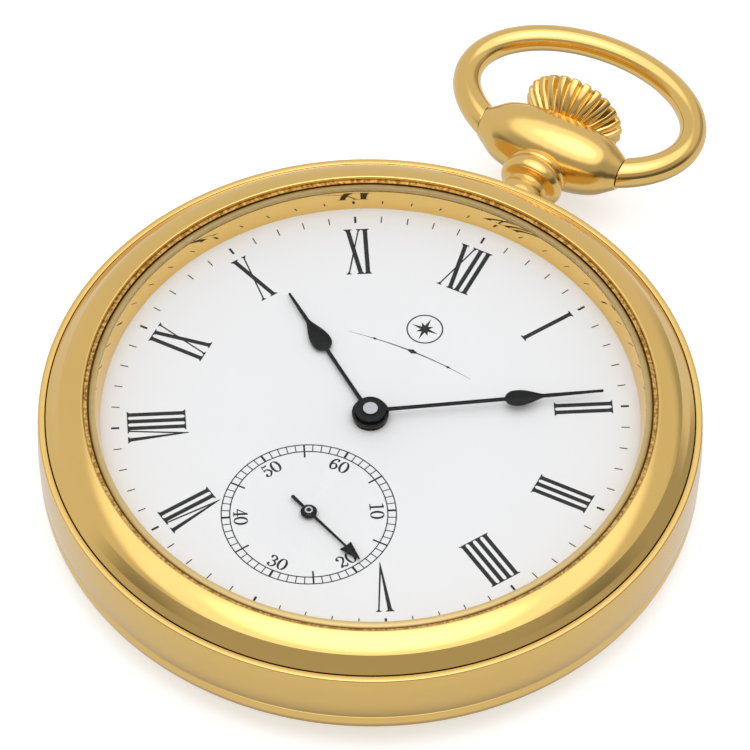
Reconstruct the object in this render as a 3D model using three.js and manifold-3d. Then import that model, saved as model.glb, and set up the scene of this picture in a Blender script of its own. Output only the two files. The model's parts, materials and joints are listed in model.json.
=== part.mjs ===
// An open-face mechanical pocket watch: case, pendant, bow and crown round a hand-wound movement.
// Millimetres. The origin is the centre of the back's flat face, +Z leaves the dial, +Y points to
// the 12 and the pendant, +X points to the 3. Every wheel is modelled with its real tooth count.
import * as THREE from 'three';
import { mergeVertices } from 'three/addons/utils/BufferGeometryUtils.js';
import Module from 'manifold-3d';

const wasm = await Module();
wasm.setup();

// ---- Driving dimensions ------------------------------------------------------------------------

const RING_STEPS = 40; // segments round the case's large rings
const DEG = Math.PI / 180;

// Case
const CASE_R = 24.39; // widest radius of the case band
const CASE_BORE_R = 20.5;
const SEAM_BACK_Z = 3.8; // where the back cover meets the band
const SEAM_FRONT_Z = 8.26; // where the bezel meets the band
const SEAM_FRONT_R = 23.76;
const BACK_FLAT_R = 11;
const BEZEL_LIP_R = 21.02;
const BEZEL_LIP_Z = 10.1;
const CRYSTAL_R = 20.7;
const CRYSTAL_Z = 9.55; // the crystal's flat underside
const NECK_R = 1.6; // the pendant's neck where it passes into the band

// Dial and hands
const DIAL_Z = 7.9; // the dial's printed face
const DIAL_T = 0.4;
const DIAL_R = 20.3;
const SUBDIAL_Y = -10; // the small seconds axis, and the fourth wheel's
const HOUR_HAND = { z: 8.2, t: 0.14, angle: 305.2, length: 12.8 };
const MINUTE_HAND = { z: 8.62, t: 0.14, angle: 57.1, length: 17.2 };
const SECONDS_HAND = { z: 8.15, t: 0.12, angle: 112.6, length: 5.68 };

// Pendant, bow and crown, along Y at the height of the winding stem
const STEM_Z = 5.75;
const HEAD_Y = 30.7; // the pendant head's cross-wise axis, on which the bow turns
const HEAD_HALF = 5.7;
const HEAD_R = 2.85;
const CROWN_SEAT_Y = 32.2;
const BOW = { y: 35.5, a: 9.06, b: 5.93, wire: 1.05, face: 5.76 };
const PEG = { r: 0.6, half: 0.85, holeR: 0.65 }; // the pegs on which the bow turns
const STEM_R = 0.5;
const CROWN_TEETH = 24;
const CROWN_GAP_Y = 32.35; // the crown's underside when pushed in

// Movement levels, from the back towards the dial
const RATCHET_Z = [2.6, 3.05];
const BRIDGE_Z = [3.1, 4.0];
const PLATE_Z = [5.6, 6.6];
const DIAL_SIDE_Z = DIAL_Z - DIAL_T; // the main plate's rim, on which the dial lies
const MOVEMENT_R = 18.3;
const BRIDGE_R = 17.7;
const FOOT_R = 15.9; // inner radius of the bridges' feet

// Going train: tooth counts, modules and positions
const GEARS = {
  barrel: { teeth: 72, module: 0.199 },
  centerPinion: { teeth: 10, module: 0.199 },
  center: { teeth: 64, module: 0.175 },
  thirdPinion: { teeth: 8, module: 0.175 },
  third: { teeth: 60, module: 0.15 },
  fourthPinion: { teeth: 8, module: 0.15 },
  fourth: { teeth: 70, module: 0.1257 },
  escapePinion: { teeth: 7, module: 0.1257 },
  cannon: { teeth: 12, module: 0.14 },
  minute: { teeth: 36, module: 0.14 },
  minutePinion: { teeth: 10, module: 0.1344 },
  hour: { teeth: 40, module: 0.1344 },
  setting: { teeth: 28, module: 0.14 },
  crownWheel: { teeth: 24, module: 0.3 },
  ratchet: { teeth: 52, module: 0.3 },
};
const ESCAPE_TEETH = 15;
const CENTER_AT = [0, 0];
const BARREL_AT = [7.87, 2.156];
const THIRD_AT = [-2.717, -5.684];
const FOURTH_AT = [0, SUBDIAL_Y];
const ESCAPE_AT = [-4.82, -10.42];
const PALLET_AT = [-6.73, -8.24];
const BALANCE_AT = [-10.8, -3.6];
const MINUTE_AT = [-1.35, 3.077];
const SETTING_AT = [0, 7.35];
const CROWN_WHEEL_AT = [0, 10.4];
const CLICK_AT = [10.35, 11.43];
const BALANCE_R = 5.2;
const PIVOT_R = 0.12;
const PIVOT_HOLE_R = 0.2;

// Keyless work, along the stem
const WINDING_PINION_Y = [12.7, 14.3];
const SLIDING_PINION_Y = [10.1, 12.4];
const STEM_GROOVE_Y = [14.35, 15.25];
const SETTING_LEVER_AT = [3.1, 15.4];
const YOKE_AT = [-4.6, 10.95];
const KEYLESS_Z = [6.65, 6.88]; // the levers' level, just above the plate

// Screws
const CASE_SCREW_ANGLES = [-15 * DEG, 200 * DEG];
const CASE_SCREW_R = 18.95;
const DIAL_FEET_R = 17.45;
const DIAL_FEET_ANGLES = [-52 * DEG, 128 * DEG];

// ---- Colours -----------------------------------------------------------------------------------

const GOLD = { color: 0xd1b27b, roughness: 0.2, metalness: 1 };
const BRASS = { color: 0xc9a45a, roughness: 0.35, metalness: 1 };
const NICKEL = { color: 0xc8c6c0, roughness: 0.3, metalness: 1 };
const STEEL = { color: 0xa9adb3, roughness: 0.25, metalness: 1 };
const BLUE_STEEL = { color: 0x2a3f7a, roughness: 0.25, metalness: 1 };
const BLACK = { color: 0x15161a, roughness: 0.3, metalness: 0.3 };
const WHITE = { color: 0xededee, roughness: 0.45, metalness: 0 };
const GLASS = { color: 0xf4f8f8, roughness: 0.03, metalness: 0, transparent: true, opacity: 0.25 };
const AMBER = { color: 0x8a5f22, roughness: 0.4, metalness: 0 };
const RUBBER = { color: 0x202020, roughness: 0.8, metalness: 0 };

// ---- Solids: joining, cutting and turning ------------------------------------------------------

function solid(geometry) {
  const bare = geometry.clone();
  bare.deleteAttribute('normal');
  bare.deleteAttribute('uv');
  const merged = mergeVertices(bare, 1e-4);
  return new wasm.Manifold(
    new wasm.Mesh({
      numProp: 3,
      vertProperties: new Float32Array(merged.attributes.position.array),
      triVerts: new Uint32Array(merged.index.array),
    }),
  );
}

function geometryOf(manifold) {
  const mesh = manifold.getMesh();
  const geometry = new THREE.BufferGeometry();
  geometry.setAttribute('position', new THREE.BufferAttribute(mesh.vertProperties, 3));
  geometry.setIndex(new THREE.BufferAttribute(mesh.triVerts, 1));
  const faceted = geometry.toNonIndexed();
  faceted.computeVertexNormals();
  return faceted;
}

const join = (...parts) => geometryOf(parts.map(solid).reduce((sum, part) => sum.add(part)));
const cut = (body, ...tools) =>
  geometryOf(tools.map(solid).reduce((rest, tool) => rest.subtract(tool), solid(body)));

// A turned body about Z. The profile is a list of [radius, z], anticlockwise seen with z upwards.
function turned(profile, steps = RING_STEPS) {
  const closed = profile[0][0] === 0 ? profile : [...profile, profile[0]];
  const points = closed.map(([r, z]) => new THREE.Vector2(r, z));
  return new THREE.LatheGeometry(points, steps).rotateX(Math.PI / 2);
}

const tube = (inner, outer, z0, z1, steps = 16) =>
  turned([[inner, z0], [outer, z0], [outer, z1], [inner, z1]], steps);

function rod(radius, z0, z1, steps = 12) {
  return turned([[0, z0], [radius, z0], [radius, z1], [0, z1]], steps);
}

// A turned body about Y, from a profile of [radius, y], at the stem's height.
function turnedOnStem(profile, steps) {
  return turned(profile, steps).rotateX(-Math.PI / 2).translate(0, 0, STEM_Z);
}

const rodOnStem = (radius, y0, y1, steps = 12) =>
  turnedOnStem([[0, y0], [radius, y0], [radius, y1], [0, y1]], steps);

const at = (geometry, [x, y]) => geometry.translate(x, y, 0);

function block(x0, x1, y0, y1, z0, z1) {
  const box = new THREE.BoxGeometry(x1 - x0, y1 - y0, z1 - z0);
  return box.translate((x0 + x1) / 2, (y0 + y1) / 2, (z0 + z1) / 2);
}

const raised = (shape, z0, z1, curveSegments = 5) =>
  new THREE.ExtrudeGeometry(shape, { depth: z1 - z0, bevelEnabled: false, curveSegments })
    .translate(0, 0, z0);

const polar = (radius, angle) => [radius * Math.cos(angle), radius * Math.sin(angle)];
const polygon = (points) => new THREE.Shape(points.map(([x, y]) => new THREE.Vector2(x, y)));

function roundHole(radius, [x, y] = [0, 0]) {
  return new THREE.Path().absarc(x, y, radius, 0, 2 * Math.PI, true);
}

// A bar with round ends between two points, as one outline.
function bar([x0, y0], [x1, y1], r0, r1 = r0) {
  const along = Math.atan2(y1 - y0, x1 - x0);
  const shape = new THREE.Shape();
  shape.absarc(x0, y0, r0, along + Math.PI / 2, along + 1.5 * Math.PI, false);
  shape.absarc(x1, y1, r1, along - Math.PI / 2, along + Math.PI / 2, false);
  return shape;
}

// ---- Gears -------------------------------------------------------------------------------------

const ADDENDUM = 0.75; // in modules
const DEDENDUM = 1.25;

// A spur gear's outline with one tooth centred on the angle phase.
function gearShape({ teeth, module }, phase, holeRadius = 0) {
  const pitchR = (teeth * module) / 2;
  const half = Math.PI / teeth;
  const points = [];
  for (let i = 0; i < teeth; i++) {
    const middle = phase + 2 * half * i;
    points.push(polar(pitchR - DEDENDUM * module, middle - half));
    points.push(polar(pitchR + ADDENDUM * module, middle));
  }
  const shape = polygon(points);
  if (holeRadius) shape.holes.push(roundHole(holeRadius));
  return shape;
}

// The phase that puts a follower's teeth in the driver's gaps, where the follower stands in the
// given direction from the driver.
function inMesh(driver, driverPhase, direction, follower) {
  const offset = (driverPhase - direction) * driver.teeth + Math.PI;
  return direction + Math.PI - offset / follower.teeth;
}

const direction = ([x0, y0], [x1, y1]) => Math.atan2(y1 - y0, x1 - x0);

// Openings between a wheel's spokes.
function addWindows(shape, count, inner, outer, spoke) {
  for (let i = 0; i < count; i++) {
    const from = ((2 * Math.PI) / count) * i;
    const to = from + (2 * Math.PI) / count;
    const innerEdge = spoke / inner;
    const outerEdge = spoke / outer;
    const sweep = to - from - 2 * outerEdge;
    const arc = [0, 1 / 3, 2 / 3, 1].map((s) => polar(outer, from + outerEdge + s * sweep));
    const hole = [polar(inner, from + innerEdge), ...arc, polar(inner, to - innerEdge)].reverse();
    shape.holes.push(new THREE.Path(hole.map(([x, y]) => new THREE.Vector2(x, y))));
  }
}

const SPOKES = 5;
const SPOKE_HALF = 0.17;
const WHEEL_HUB_R = 0.95;
const WHEEL_RIM = 0.45;

// A wheel with spokes, its pinion and its arbor with two thin pivots, as one piece.
function trainWheel({ wheel, pinion, arbor }) {
  const shape = gearShape(wheel, wheel.phase);
  const rootR = (wheel.teeth * wheel.module) / 2 - DEDENDUM * wheel.module;
  addWindows(shape, SPOKES, WHEEL_HUB_R, rootR - WHEEL_RIM, SPOKE_HALF);
  return join(
    raised(shape, ...wheel.z),
    raised(gearShape(pinion, pinion.phase), ...pinion.z),
    rod(arbor.r, ...arbor.z, 8),
    rod(PIVOT_R, ...arbor.pivots, 6),
  );
}

const pivotHole = (place, z0, z1) => at(rod(PIVOT_HOLE_R, z0, z1, 8), place);

// Phases of the going train, each wheel set from the one that drives it.
const phase = {};
phase.centerPinion = 0.1;
phase.center = 0;
phase.third = 0;
phase.fourth = 0;
phase.minute = 0;
phase.minutePinion = 0;
phase.crownWheel = 0;

function drives(driver, driverAt, follower, followerAt) {
  const way = direction(driverAt, followerAt);
  phase[follower] = inMesh(GEARS[driver], phase[driver], way, GEARS[follower]);
}

drives('centerPinion', CENTER_AT, 'barrel', BARREL_AT);
drives('center', CENTER_AT, 'thirdPinion', THIRD_AT);
drives('third', THIRD_AT, 'fourthPinion', FOURTH_AT);
drives('fourth', FOURTH_AT, 'escapePinion', ESCAPE_AT);
drives('minute', MINUTE_AT, 'cannon', CENTER_AT);
drives('minute', MINUTE_AT, 'setting', SETTING_AT);
drives('minutePinion', MINUTE_AT, 'hour', CENTER_AT);
drives('crownWheel', CROWN_WHEEL_AT, 'ratchet', BARREL_AT);

// ---- The watch as a scene graph ----------------------------------------------------------------

const watch = new THREE.Group();
const caseGroup = new THREE.Group();
const dialGroup = new THREE.Group();
const movement = new THREE.Group();
watch.add(caseGroup, dialGroup, movement);

function add(group, name, geometry, finish, place = [0, 0]) {
  const mesh = new THREE.Mesh(geometry, new THREE.MeshStandardMaterial(finish));
  mesh.name = name;
  mesh.position.set(place[0], place[1], 0);
  group.add(mesh);
}

// ---- Case --------------------------------------------------------------------------------------

function caseBand() {
  const ring = turned([
    [CASE_BORE_R, 3.0], [22.3, 3.0], [22.3, SEAM_BACK_Z], [24.22, SEAM_BACK_Z], [24.36, 4.5],
    [CASE_R, 5.9], [24.37, 7.4], [24.32, SEAM_FRONT_Z - 0.08], [24.24, SEAM_FRONT_Z],
    [22.2, SEAM_FRONT_Z], [22.2, 9.0], [CASE_BORE_R, 9.0],
  ]);
  return cut(ring, rodOnStem(NECK_R + 0.1, 19, 26));
}

function backCover() {
  return turned([
    [0, 0], [BACK_FLAT_R, 0], [16, 0.35], [20, 1.1], [22.89, 2.01], [23.8, 2.3], [24.3, 3.0],
    [24.22, SEAM_BACK_Z], [22.35, SEAM_BACK_Z], [22.35, 2.95], [20.6, 2.75], [19.2, 1.9], [15, 1.15],
    [BACK_FLAT_R, 0.8], [0, 0.8],
  ]);
}

function bezel() {
  return turned([
    [22.25, SEAM_FRONT_Z], [SEAM_FRONT_R, SEAM_FRONT_Z], [23.38, 8.68], [22.8, 9.37], [22.22, 9.71],
    [21.66, 9.94], [21.16, BEZEL_LIP_Z], [BEZEL_LIP_R, BEZEL_LIP_Z - 0.08], [BEZEL_LIP_R, 9.05],
    [22.25, 9.05],
  ]);
}

function crystal() {
  return turned([
    [0, CRYSTAL_Z], [CRYSTAL_R, CRYSTAL_Z], [CRYSTAL_R, 9.7], [20.14, 9.88], [15, 10.36], [8, 10.6],
    [0, 10.7],
  ]);
}

// The crystal's seat: a thin foot under its edge and a wall round it.
function crystalGasket() {
  const inner = CRYSTAL_R + 0.02;
  const outer = BEZEL_LIP_R - 0.02;
  const footR = 20.16;
  const footZ = [9.42, CRYSTAL_Z - 0.02];
  const topZ = 9.78;
  return turned([
    [footR, footZ[0]], [outer, footZ[0]], [outer, topZ], [inner, topZ], [inner, footZ[1]], [footR, footZ[1]],
  ]);
}

// The pendant: neck with two collars, and the barrel-shaped cross-wise head that holds the bow.
function pendant() {
  const headHalf = [[HEAD_R, 0], [2.8, 1.5], [2.58, 3.0], [2.2, 4.2], [1.65, 5.1], [1.22, HEAD_HALF]];
  const lower = headHalf.slice(1).reverse().map(([r, x]) => [r, -x]);
  const profile = [[0, -HEAD_HALF], ...lower, ...headHalf, [0, HEAD_HALF]];
  const head = turned(profile, 20).rotateY(Math.PI / 2).translate(0, HEAD_Y, STEM_Z);
  const neck = turnedOnStem([
    [0, 21], [NECK_R, 21], [NECK_R, 24.2], [1.97, 24.5], [1.97, 25.7], [1.72, 26.2], [2.2, 26.6],
    [2.45, 27.2], [2.45, 27.9], [2.1, 28.4], [1.8, 28.7], [1.8, 30], [0, 30],
  ], 16);
  const bore = rodOnStem(0.75, 20, 34, 8);
  const gasketSeat = rodOnStem(1.2, 31.4, 34);
  const crownSeat = rodOnStem(6, CROWN_SEAT_Y, 36, 8);
  const pegHole = rod(PEG.holeR, -1.3, 1.3, 10).rotateY(Math.PI / 2);
  const holes = [-1, 1].map((side) => pegHole.clone().translate(side * HEAD_HALF, HEAD_Y, STEM_Z));
  return cut(join(head, neck), bore, gasketSeat, crownSeat, ...holes);
}

// The bow: an oval of round wire, ended flat against the pendant head, with a peg at each end.
function bow() {
  const endAngle = Math.acos(5.0 / BOW.a); // past the ends, which are then cut flat
  const points = [];
  const steps = 28;
  for (let i = 0; i <= steps; i++) {
    const angle = -endAngle + ((Math.PI + 2 * endAngle) * i) / steps;
    points.push(new THREE.Vector3(BOW.a * Math.cos(angle), BOW.y + BOW.b * Math.sin(angle), STEM_Z));
  }
  const section = new THREE.Shape().absarc(0, 0, BOW.wire, 0, 2 * Math.PI);
  const wire = new THREE.ExtrudeGeometry(section, {
    steps,
    curveSegments: 5,
    bevelEnabled: false,
    extrudePath: new THREE.CatmullRomCurve3(points),
  });
  const ends = block(-BOW.face, BOW.face, HEAD_Y - 3, HEAD_Y + 2.6, 3, 9);
  const peg = rod(PEG.r, -PEG.half, PEG.half, 8).rotateY(Math.PI / 2);
  const pegs = [-1, 1].map((side) => peg.clone().translate(side * HEAD_HALF, HEAD_Y, STEM_Z));
  return join(cut(wire, ends), ...pegs);
}

// The crown's profile about the stem: [radius, y, depth of the flutes].
const CROWN_PROFILE = [
  [0, CROWN_GAP_Y, 0], [2.0, CROWN_GAP_Y, 0.05], [3.55, 33.8, 0.14], [3.95, 34.6, 0.16],
  [3.4, 34.98, 0.1], [2.5, 35.35, 0], [0, 35.5, 0],
];

function crown() {
  const geometry = turned(CROWN_PROFILE.map(([r, y]) => [r, y]), 2 * CROWN_TEETH);
  const position = geometry.attributes.position;
  for (let i = 0; i < position.count; i++) {
    const [, , depth] = CROWN_PROFILE[i % CROWN_PROFILE.length];
    const column = Math.floor(i / CROWN_PROFILE.length);
    const shrink = column % 2 ? 1 - depth : 1;
    position.setX(i, position.getX(i) * shrink);
    position.setY(i, position.getY(i) * shrink);
  }
  const body = geometry.rotateX(-Math.PI / 2).translate(0, 0, STEM_Z);
  return cut(body, rodOnStem(0.5, 32, 34.4));
}

const stemGasket = () => turnedOnStem([[0.55, 31.5], [1.15, 31.5], [1.15, 32.1], [0.55, 32.1]], 12);

// The ring that centres the movement in the case, held by the case screws.
function movementRing() {
  const ring = tube(MOVEMENT_R + 0.05, CASE_BORE_R - 0.1, PLATE_Z[0], DIAL_SIDE_Z, RING_STEPS);
  const screwHoles = CASE_SCREW_ANGLES.map((a) => at(rod(0.45, 5, 7), polar(CASE_SCREW_R, a)));
  return cut(ring, rodOnStem(1.0, 17, 22), ...screwHoles);
}

add(caseGroup, 'case_band', caseBand(), GOLD);
add(caseGroup, 'back_cover', backCover(), GOLD);
add(caseGroup, 'bezel', bezel(), GOLD);
add(caseGroup, 'crystal', crystal(), GLASS);
add(caseGroup, 'crystal_gasket', crystalGasket(), AMBER);
add(caseGroup, 'pendant', pendant(), GOLD);
add(caseGroup, 'bow', bow(), GOLD);
add(caseGroup, 'crown', crown(), GOLD);
add(caseGroup, 'stem_gasket', stemGasket(), RUBBER);
add(caseGroup, 'movement_ring', movementRing(), BRASS);

// A slotted screw along Z with its head towards the back.
function screw({ headR, headZ, shankR, shankEnd }) {
  const body = join(rod(headR, ...headZ), rod(shankR, headZ[1], shankEnd, 8));
  const slot = block(-headR, headR, -0.12, 0.12, headZ[0] - 0.1, headZ[0] + 0.15);
  return cut(body, slot);
}

CASE_SCREW_ANGLES.forEach((a, i) => {
  const body = screw({ headR: 1.0, headZ: [5.2, PLATE_Z[0]], shankR: 0.4, shankEnd: 6.9 });
  add(caseGroup, `case_screw_${i + 1}`, body, STEEL, polar(CASE_SCREW_R, a));
});

// ---- Dial and hands ----------------------------------------------------------------------------

const DIAL_FEET = DIAL_FEET_ANGLES.map((a) => polar(DIAL_FEET_R, a));

function dial() {
  const disc = cut(
    rod(DIAL_R, DIAL_SIDE_Z, DIAL_Z, RING_STEPS),
    rod(1.25, 7, 8.5, 16),
    at(rod(0.4, 7, 8.5, 10), FOURTH_AT),
  );
  const feet = DIAL_FEET.map((place) => at(rod(0.35, 6.2, DIAL_SIDE_Z + 0.1, 8), place));
  return join(disc, ...feet);
}

// A pear-shaped hand pointing along +Y: a round hub, a slim stem, a swollen pear and a fine point.
function pearHand({ length, hubR, hole, stem, pear, pearFrom, pearWidest, pearTo, tip }) {
  const side = [
    [stem * 1.3, hubR * 0.9], [stem, pearFrom], [pear * 0.6, pearFrom + 0.15 * (pearWidest - pearFrom)],
    [pear * 0.92, pearFrom + 0.5 * (pearWidest - pearFrom)], [pear, pearWidest],
    [pear * 0.8, pearWidest + 0.3 * (pearTo - pearWidest)],
    [pear * 0.36, pearWidest + 0.68 * (pearTo - pearWidest)], [tip * 1.6, pearTo], [tip, length],
  ];
  const shape = new THREE.Shape();
  const from = Math.atan2(side[0][1], side[0][0]);
  shape.absarc(0, 0, hubR, Math.PI - from, 2 * Math.PI + from, false);
  side.slice(1).forEach(([x, y]) => shape.lineTo(x, y));
  side.slice(1).reverse().forEach(([x, y]) => shape.lineTo(-x, y));
  shape.holes.push(roundHole(hole));
  return shape;
}

const turnHand = (geometry, { angle }) => geometry.rotateZ(-angle * DEG);

function hourHand() {
  const shape = pearHand({
    length: HOUR_HAND.length, hubR: 1.36, hole: 1.13, stem: 0.14, pear: 0.75,
    pearFrom: 6.85, pearWidest: 7.8, pearTo: 10.2, tip: 0.06,
  });
  const plate = raised(shape, HOUR_HAND.z, HOUR_HAND.z + HOUR_HAND.t);
  return turnHand(join(plate, tube(1.1, 1.34, HOUR_HAND.z, 8.56, 16)), HOUR_HAND);
}

function minuteHand() {
  const shape = pearHand({
    length: MINUTE_HAND.length, hubR: 1.14, hole: 0.6, stem: 0.14, pear: 0.68,
    pearFrom: 9.95, pearWidest: 10.9, pearTo: 13.1, tip: 0.05,
  });
  const plate = raised(shape, MINUTE_HAND.z, MINUTE_HAND.z + MINUTE_HAND.t);
  return turnHand(join(plate, tube(0.6, 1.1, MINUTE_HAND.z, 8.94, 16)), MINUTE_HAND);
}

function secondsHand() {
  const arrow = polygon([
    [0.08, 0.4], [0.07, 4.05], [0.5, 4.1], [0.02, SECONDS_HAND.length], [-0.02, SECONDS_HAND.length],
    [-0.5, 4.1], [-0.07, 4.05], [-0.08, 0.4],
  ]);
  const tail = polygon([[-0.12, -0.4], [-0.17, -1.9], [0.17, -1.9], [0.12, -0.4]]);
  const level = [SECONDS_HAND.z, SECONDS_HAND.z + SECONDS_HAND.t];
  const hub = rod(0.62, SECONDS_HAND.z, 8.42, 16);
  const body = join(raised(arrow, ...level), raised(tail, ...level), hub);
  return turnHand(cut(body, rod(0.22, 8, 9, 8)), SECONDS_HAND);
}

// The leaning ring between the dial's edge and the crystal.
const dialFlange = () => turned([[19.77, DIAL_Z], [20.4, DIAL_Z], [20.4, 9.4], [20.145, 9.4]]);

add(dialGroup, 'dial_flange', dialFlange(), GOLD);
add(dialGroup, 'dial', dial(), WHITE);
add(dialGroup, 'hour_hand', hourHand(), BLACK);
add(dialGroup, 'minute_hand', minuteHand(), BLACK);
add(dialGroup, 'seconds_hand', secondsHand(), BLACK, FOURTH_AT);

// ---- Movement: plate and bridges ---------------------------------------------------------------

function mainPlate() {
  const disc = turned([
    [0, PLATE_Z[0]], [MOVEMENT_R, PLATE_Z[0]], [MOVEMENT_R, DIAL_SIDE_Z], [16.6, DIAL_SIDE_Z],
    [16.6, PLATE_Z[1]], [0, PLATE_Z[1]],
  ]);
  const settingPost = at(rod(0.35, PLATE_Z[1] - 0.2, 6.95, 8), SETTING_AT);
  const minutePost = at(rod(0.25, PLATE_Z[1] - 0.2, 7.3, 8), MINUTE_AT);
  const leverPost = at(rod(0.3, PLATE_Z[1] - 0.2, 7.0, 8), SETTING_LEVER_AT);
  const yokePost = at(rod(0.3, PLATE_Z[1] - 0.2, 7.0, 8), YOKE_AT);
  return cut(
    join(disc, settingPost, minutePost, leverPost, yokePost),
    rod(0.55, 5, 7, 12),
    at(rod(0.3, 5, 7, 8), FOURTH_AT),
    at(rod(7.45, 5, 6.25, 32), BARREL_AT),
    at(rod(0.65, 5, 7, 10), BARREL_AT),
    block(-1.9, 1.9, 8.9, 16.3, 5, 8),
    rodOnStem(0.8, 15, 20),
    ...[THIRD_AT, ESCAPE_AT, PALLET_AT, BALANCE_AT].map((place) => pivotHole(place, 5, 7)),
    ...DIAL_FEET.map((place) => at(rod(0.5, 6.0, 8, 8), place)),
    ...CASE_SCREW_ANGLES.map((a) => at(rod(0.6, 5.65, 7), polar(CASE_SCREW_R, a))),
  );
}

// A sector of a ring, for the feet on which a bridge stands round the plate's edge.
function footShape(from, to) {
  const shape = new THREE.Shape();
  shape.absarc(0, 0, BRIDGE_R, from, to, false);
  shape.absarc(0, 0, FOOT_R, to, from, true);
  return shape;
}

const BARREL_BRIDGE_ARC = [-36.5 * DEG, 118 * DEG];
const TRAIN_BRIDGE_ARC = [-118 * DEG, -39.5 * DEG];
const BARREL_BRIDGE_SCREWS = [polar(16.8, -30 * DEG), polar(16.8, 106 * DEG)];
const TRAIN_BRIDGE_SCREWS = [polar(16.8, -52 * DEG), polar(16.8, -108 * DEG)];
const BALANCE_COCK_SCREW = [-12.6, 5.6];
const PALLET_BRIDGE_SCREW = [-8.69, -9.95];
const PALLET_BRIDGE_POST = [-4.77, -6.53];
const screwHole = (place) => at(rod(0.5, 3, 5.6, 8), place);

function barrelBridge() {
  const slab = new THREE.Shape();
  slab.absarc(0, 0, BRIDGE_R, ...BARREL_BRIDGE_ARC, false);
  const inner = [[-6.2, 7.6], [-3.0, 4.7], [4.4, -0.77], [8.4, -6.6]];
  inner.forEach(([x, y]) => slab.lineTo(x, y));
  const boss = at(rod(3.95, BRIDGE_Z[1] - 0.1, 4.5, 20), CROWN_WHEEL_AT);
  const foot = raised(footShape(...BARREL_BRIDGE_ARC), BRIDGE_Z[1] - 0.1, PLATE_Z[0]);
  return cut(
    join(raised(slab, ...BRIDGE_Z, 9), boss, foot),
    at(tube(2.7, 3.65, 3, 4.2, 20), CROWN_WHEEL_AT),
    at(rod(0.6, 3, 5, 8), CROWN_WHEEL_AT),
    at(rod(0.7, 3, 5, 10), BARREL_AT),
    at(rod(0.45, 3, 5, 8), CLICK_AT),
    block(-1.9, 1.9, 12.3, 18, 4.05, 6),
    ...BARREL_BRIDGE_SCREWS.map(screwHole),
  );
}

function trainBridge() {
  const slab = new THREE.Shape();
  slab.absarc(0, 0, BRIDGE_R, ...TRAIN_BRIDGE_ARC, false);
  const inner = [
    [8.1, -6.95], [4.1, -1.05], [-3.2, 4.35], [-4.2, 2], [-4.6, -2], [-4.9, -7.2], [-5.9, -9], [-7, -12],
  ];
  inner.forEach(([x, y]) => slab.lineTo(x, y));
  const foot = raised(footShape(...TRAIN_BRIDGE_ARC), BRIDGE_Z[1] - 0.1, PLATE_Z[0]);
  return cut(
    join(raised(slab, ...BRIDGE_Z, 9), foot),
    ...[CENTER_AT, THIRD_AT, FOURTH_AT, ESCAPE_AT].map((place) => pivotHole(place, 3, 4.5)),
    ...TRAIN_BRIDGE_SCREWS.map(screwHole),
  );
}

function palletBridge() {
  const level = [4.84, 5.02];
  const foot = [level[1] - 0.05, PLATE_Z[0]];
  return cut(
    join(
      raised(bar(PALLET_BRIDGE_POST, PALLET_BRIDGE_SCREW, 0.6, 0.75), ...level, 6),
      at(rod(0.55, ...foot), PALLET_BRIDGE_POST),
      at(rod(0.7, ...foot), PALLET_BRIDGE_SCREW),
    ),
    pivotHole(PALLET_AT, 4.5, 5.3),
    at(rod(0.32, 4.5, 6, 8), PALLET_BRIDGE_SCREW),
  );
}

function balanceCock() {
  const level = [2.6, 3.5];
  const foot = at(rod(2.4, level[1] - 0.1, PLATE_Z[0], 20), BALANCE_COCK_SCREW);
  return cut(
    join(raised(bar(BALANCE_COCK_SCREW, BALANCE_AT, 2.6, 1.7), ...level, 10), foot),
    pivotHole(BALANCE_AT, 2.9, 4),
    at(rod(0.5, 2, 6, 8), BALANCE_COCK_SCREW),
  );
}

add(movement, 'main_plate', mainPlate(), BRASS);
add(movement, 'barrel_bridge', barrelBridge(), NICKEL);
add(movement, 'train_bridge', trainBridge(), NICKEL);
add(movement, 'pallet_bridge', palletBridge(), NICKEL);
add(movement, 'balance_cock', balanceCock(), NICKEL);

const bridgeScrew = { headR: 0.9, headZ: [2.75, BRIDGE_Z[0]], shankR: 0.42, shankEnd: PLATE_Z[0] };
BARREL_BRIDGE_SCREWS.forEach((place, i) =>
  add(movement, `barrel_bridge_screw_${i + 1}`, screw(bridgeScrew), BLUE_STEEL, place));
TRAIN_BRIDGE_SCREWS.forEach((place, i) =>
  add(movement, `train_bridge_screw_${i + 1}`, screw(bridgeScrew), BLUE_STEEL, place));
const cockScrew = { headR: 1.0, headZ: [2.25, 2.6], shankR: 0.42, shankEnd: PLATE_Z[0] };
add(movement, 'balance_cock_screw', screw(cockScrew), BLUE_STEEL, BALANCE_COCK_SCREW);
const palletScrew = { headR: 0.5, headZ: [4.7, 4.84], shankR: 0.25, shankEnd: PLATE_Z[0] };
add(movement, 'pallet_bridge_screw', screw(palletScrew), BLUE_STEEL, PALLET_BRIDGE_SCREW);

// ---- Movement: barrel and winding work ---------------------------------------------------------

const BARREL_TEETH_Z = [4.4, 4.75];

function barrelDrum() {
  const drum = turned([
    [0.75, 4.35], [6.8, 4.35], [6.8, 6.1], [6.3, 6.1], [6.3, 4.65], [0.75, 4.65],
  ], 24);
  return join(drum, raised(gearShape(GEARS.barrel, phase.barrel, 6.5), ...BARREL_TEETH_Z));
}

// A flat strip wound into a spiral, as one outline.
function spiralShape(inner, outer, turns, width) {
  const steps = Math.round(turns * 14);
  const edge = (offset) => {
    const points = [];
    for (let i = 0; i <= steps; i++) {
      const s = i / steps;
      points.push(polar(inner + (outer - inner) * s + offset, s * turns * 2 * Math.PI));
    }
    return points;
  };
  return polygon([...edge(width / 2), ...edge(-width / 2).reverse()]);
}

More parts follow.
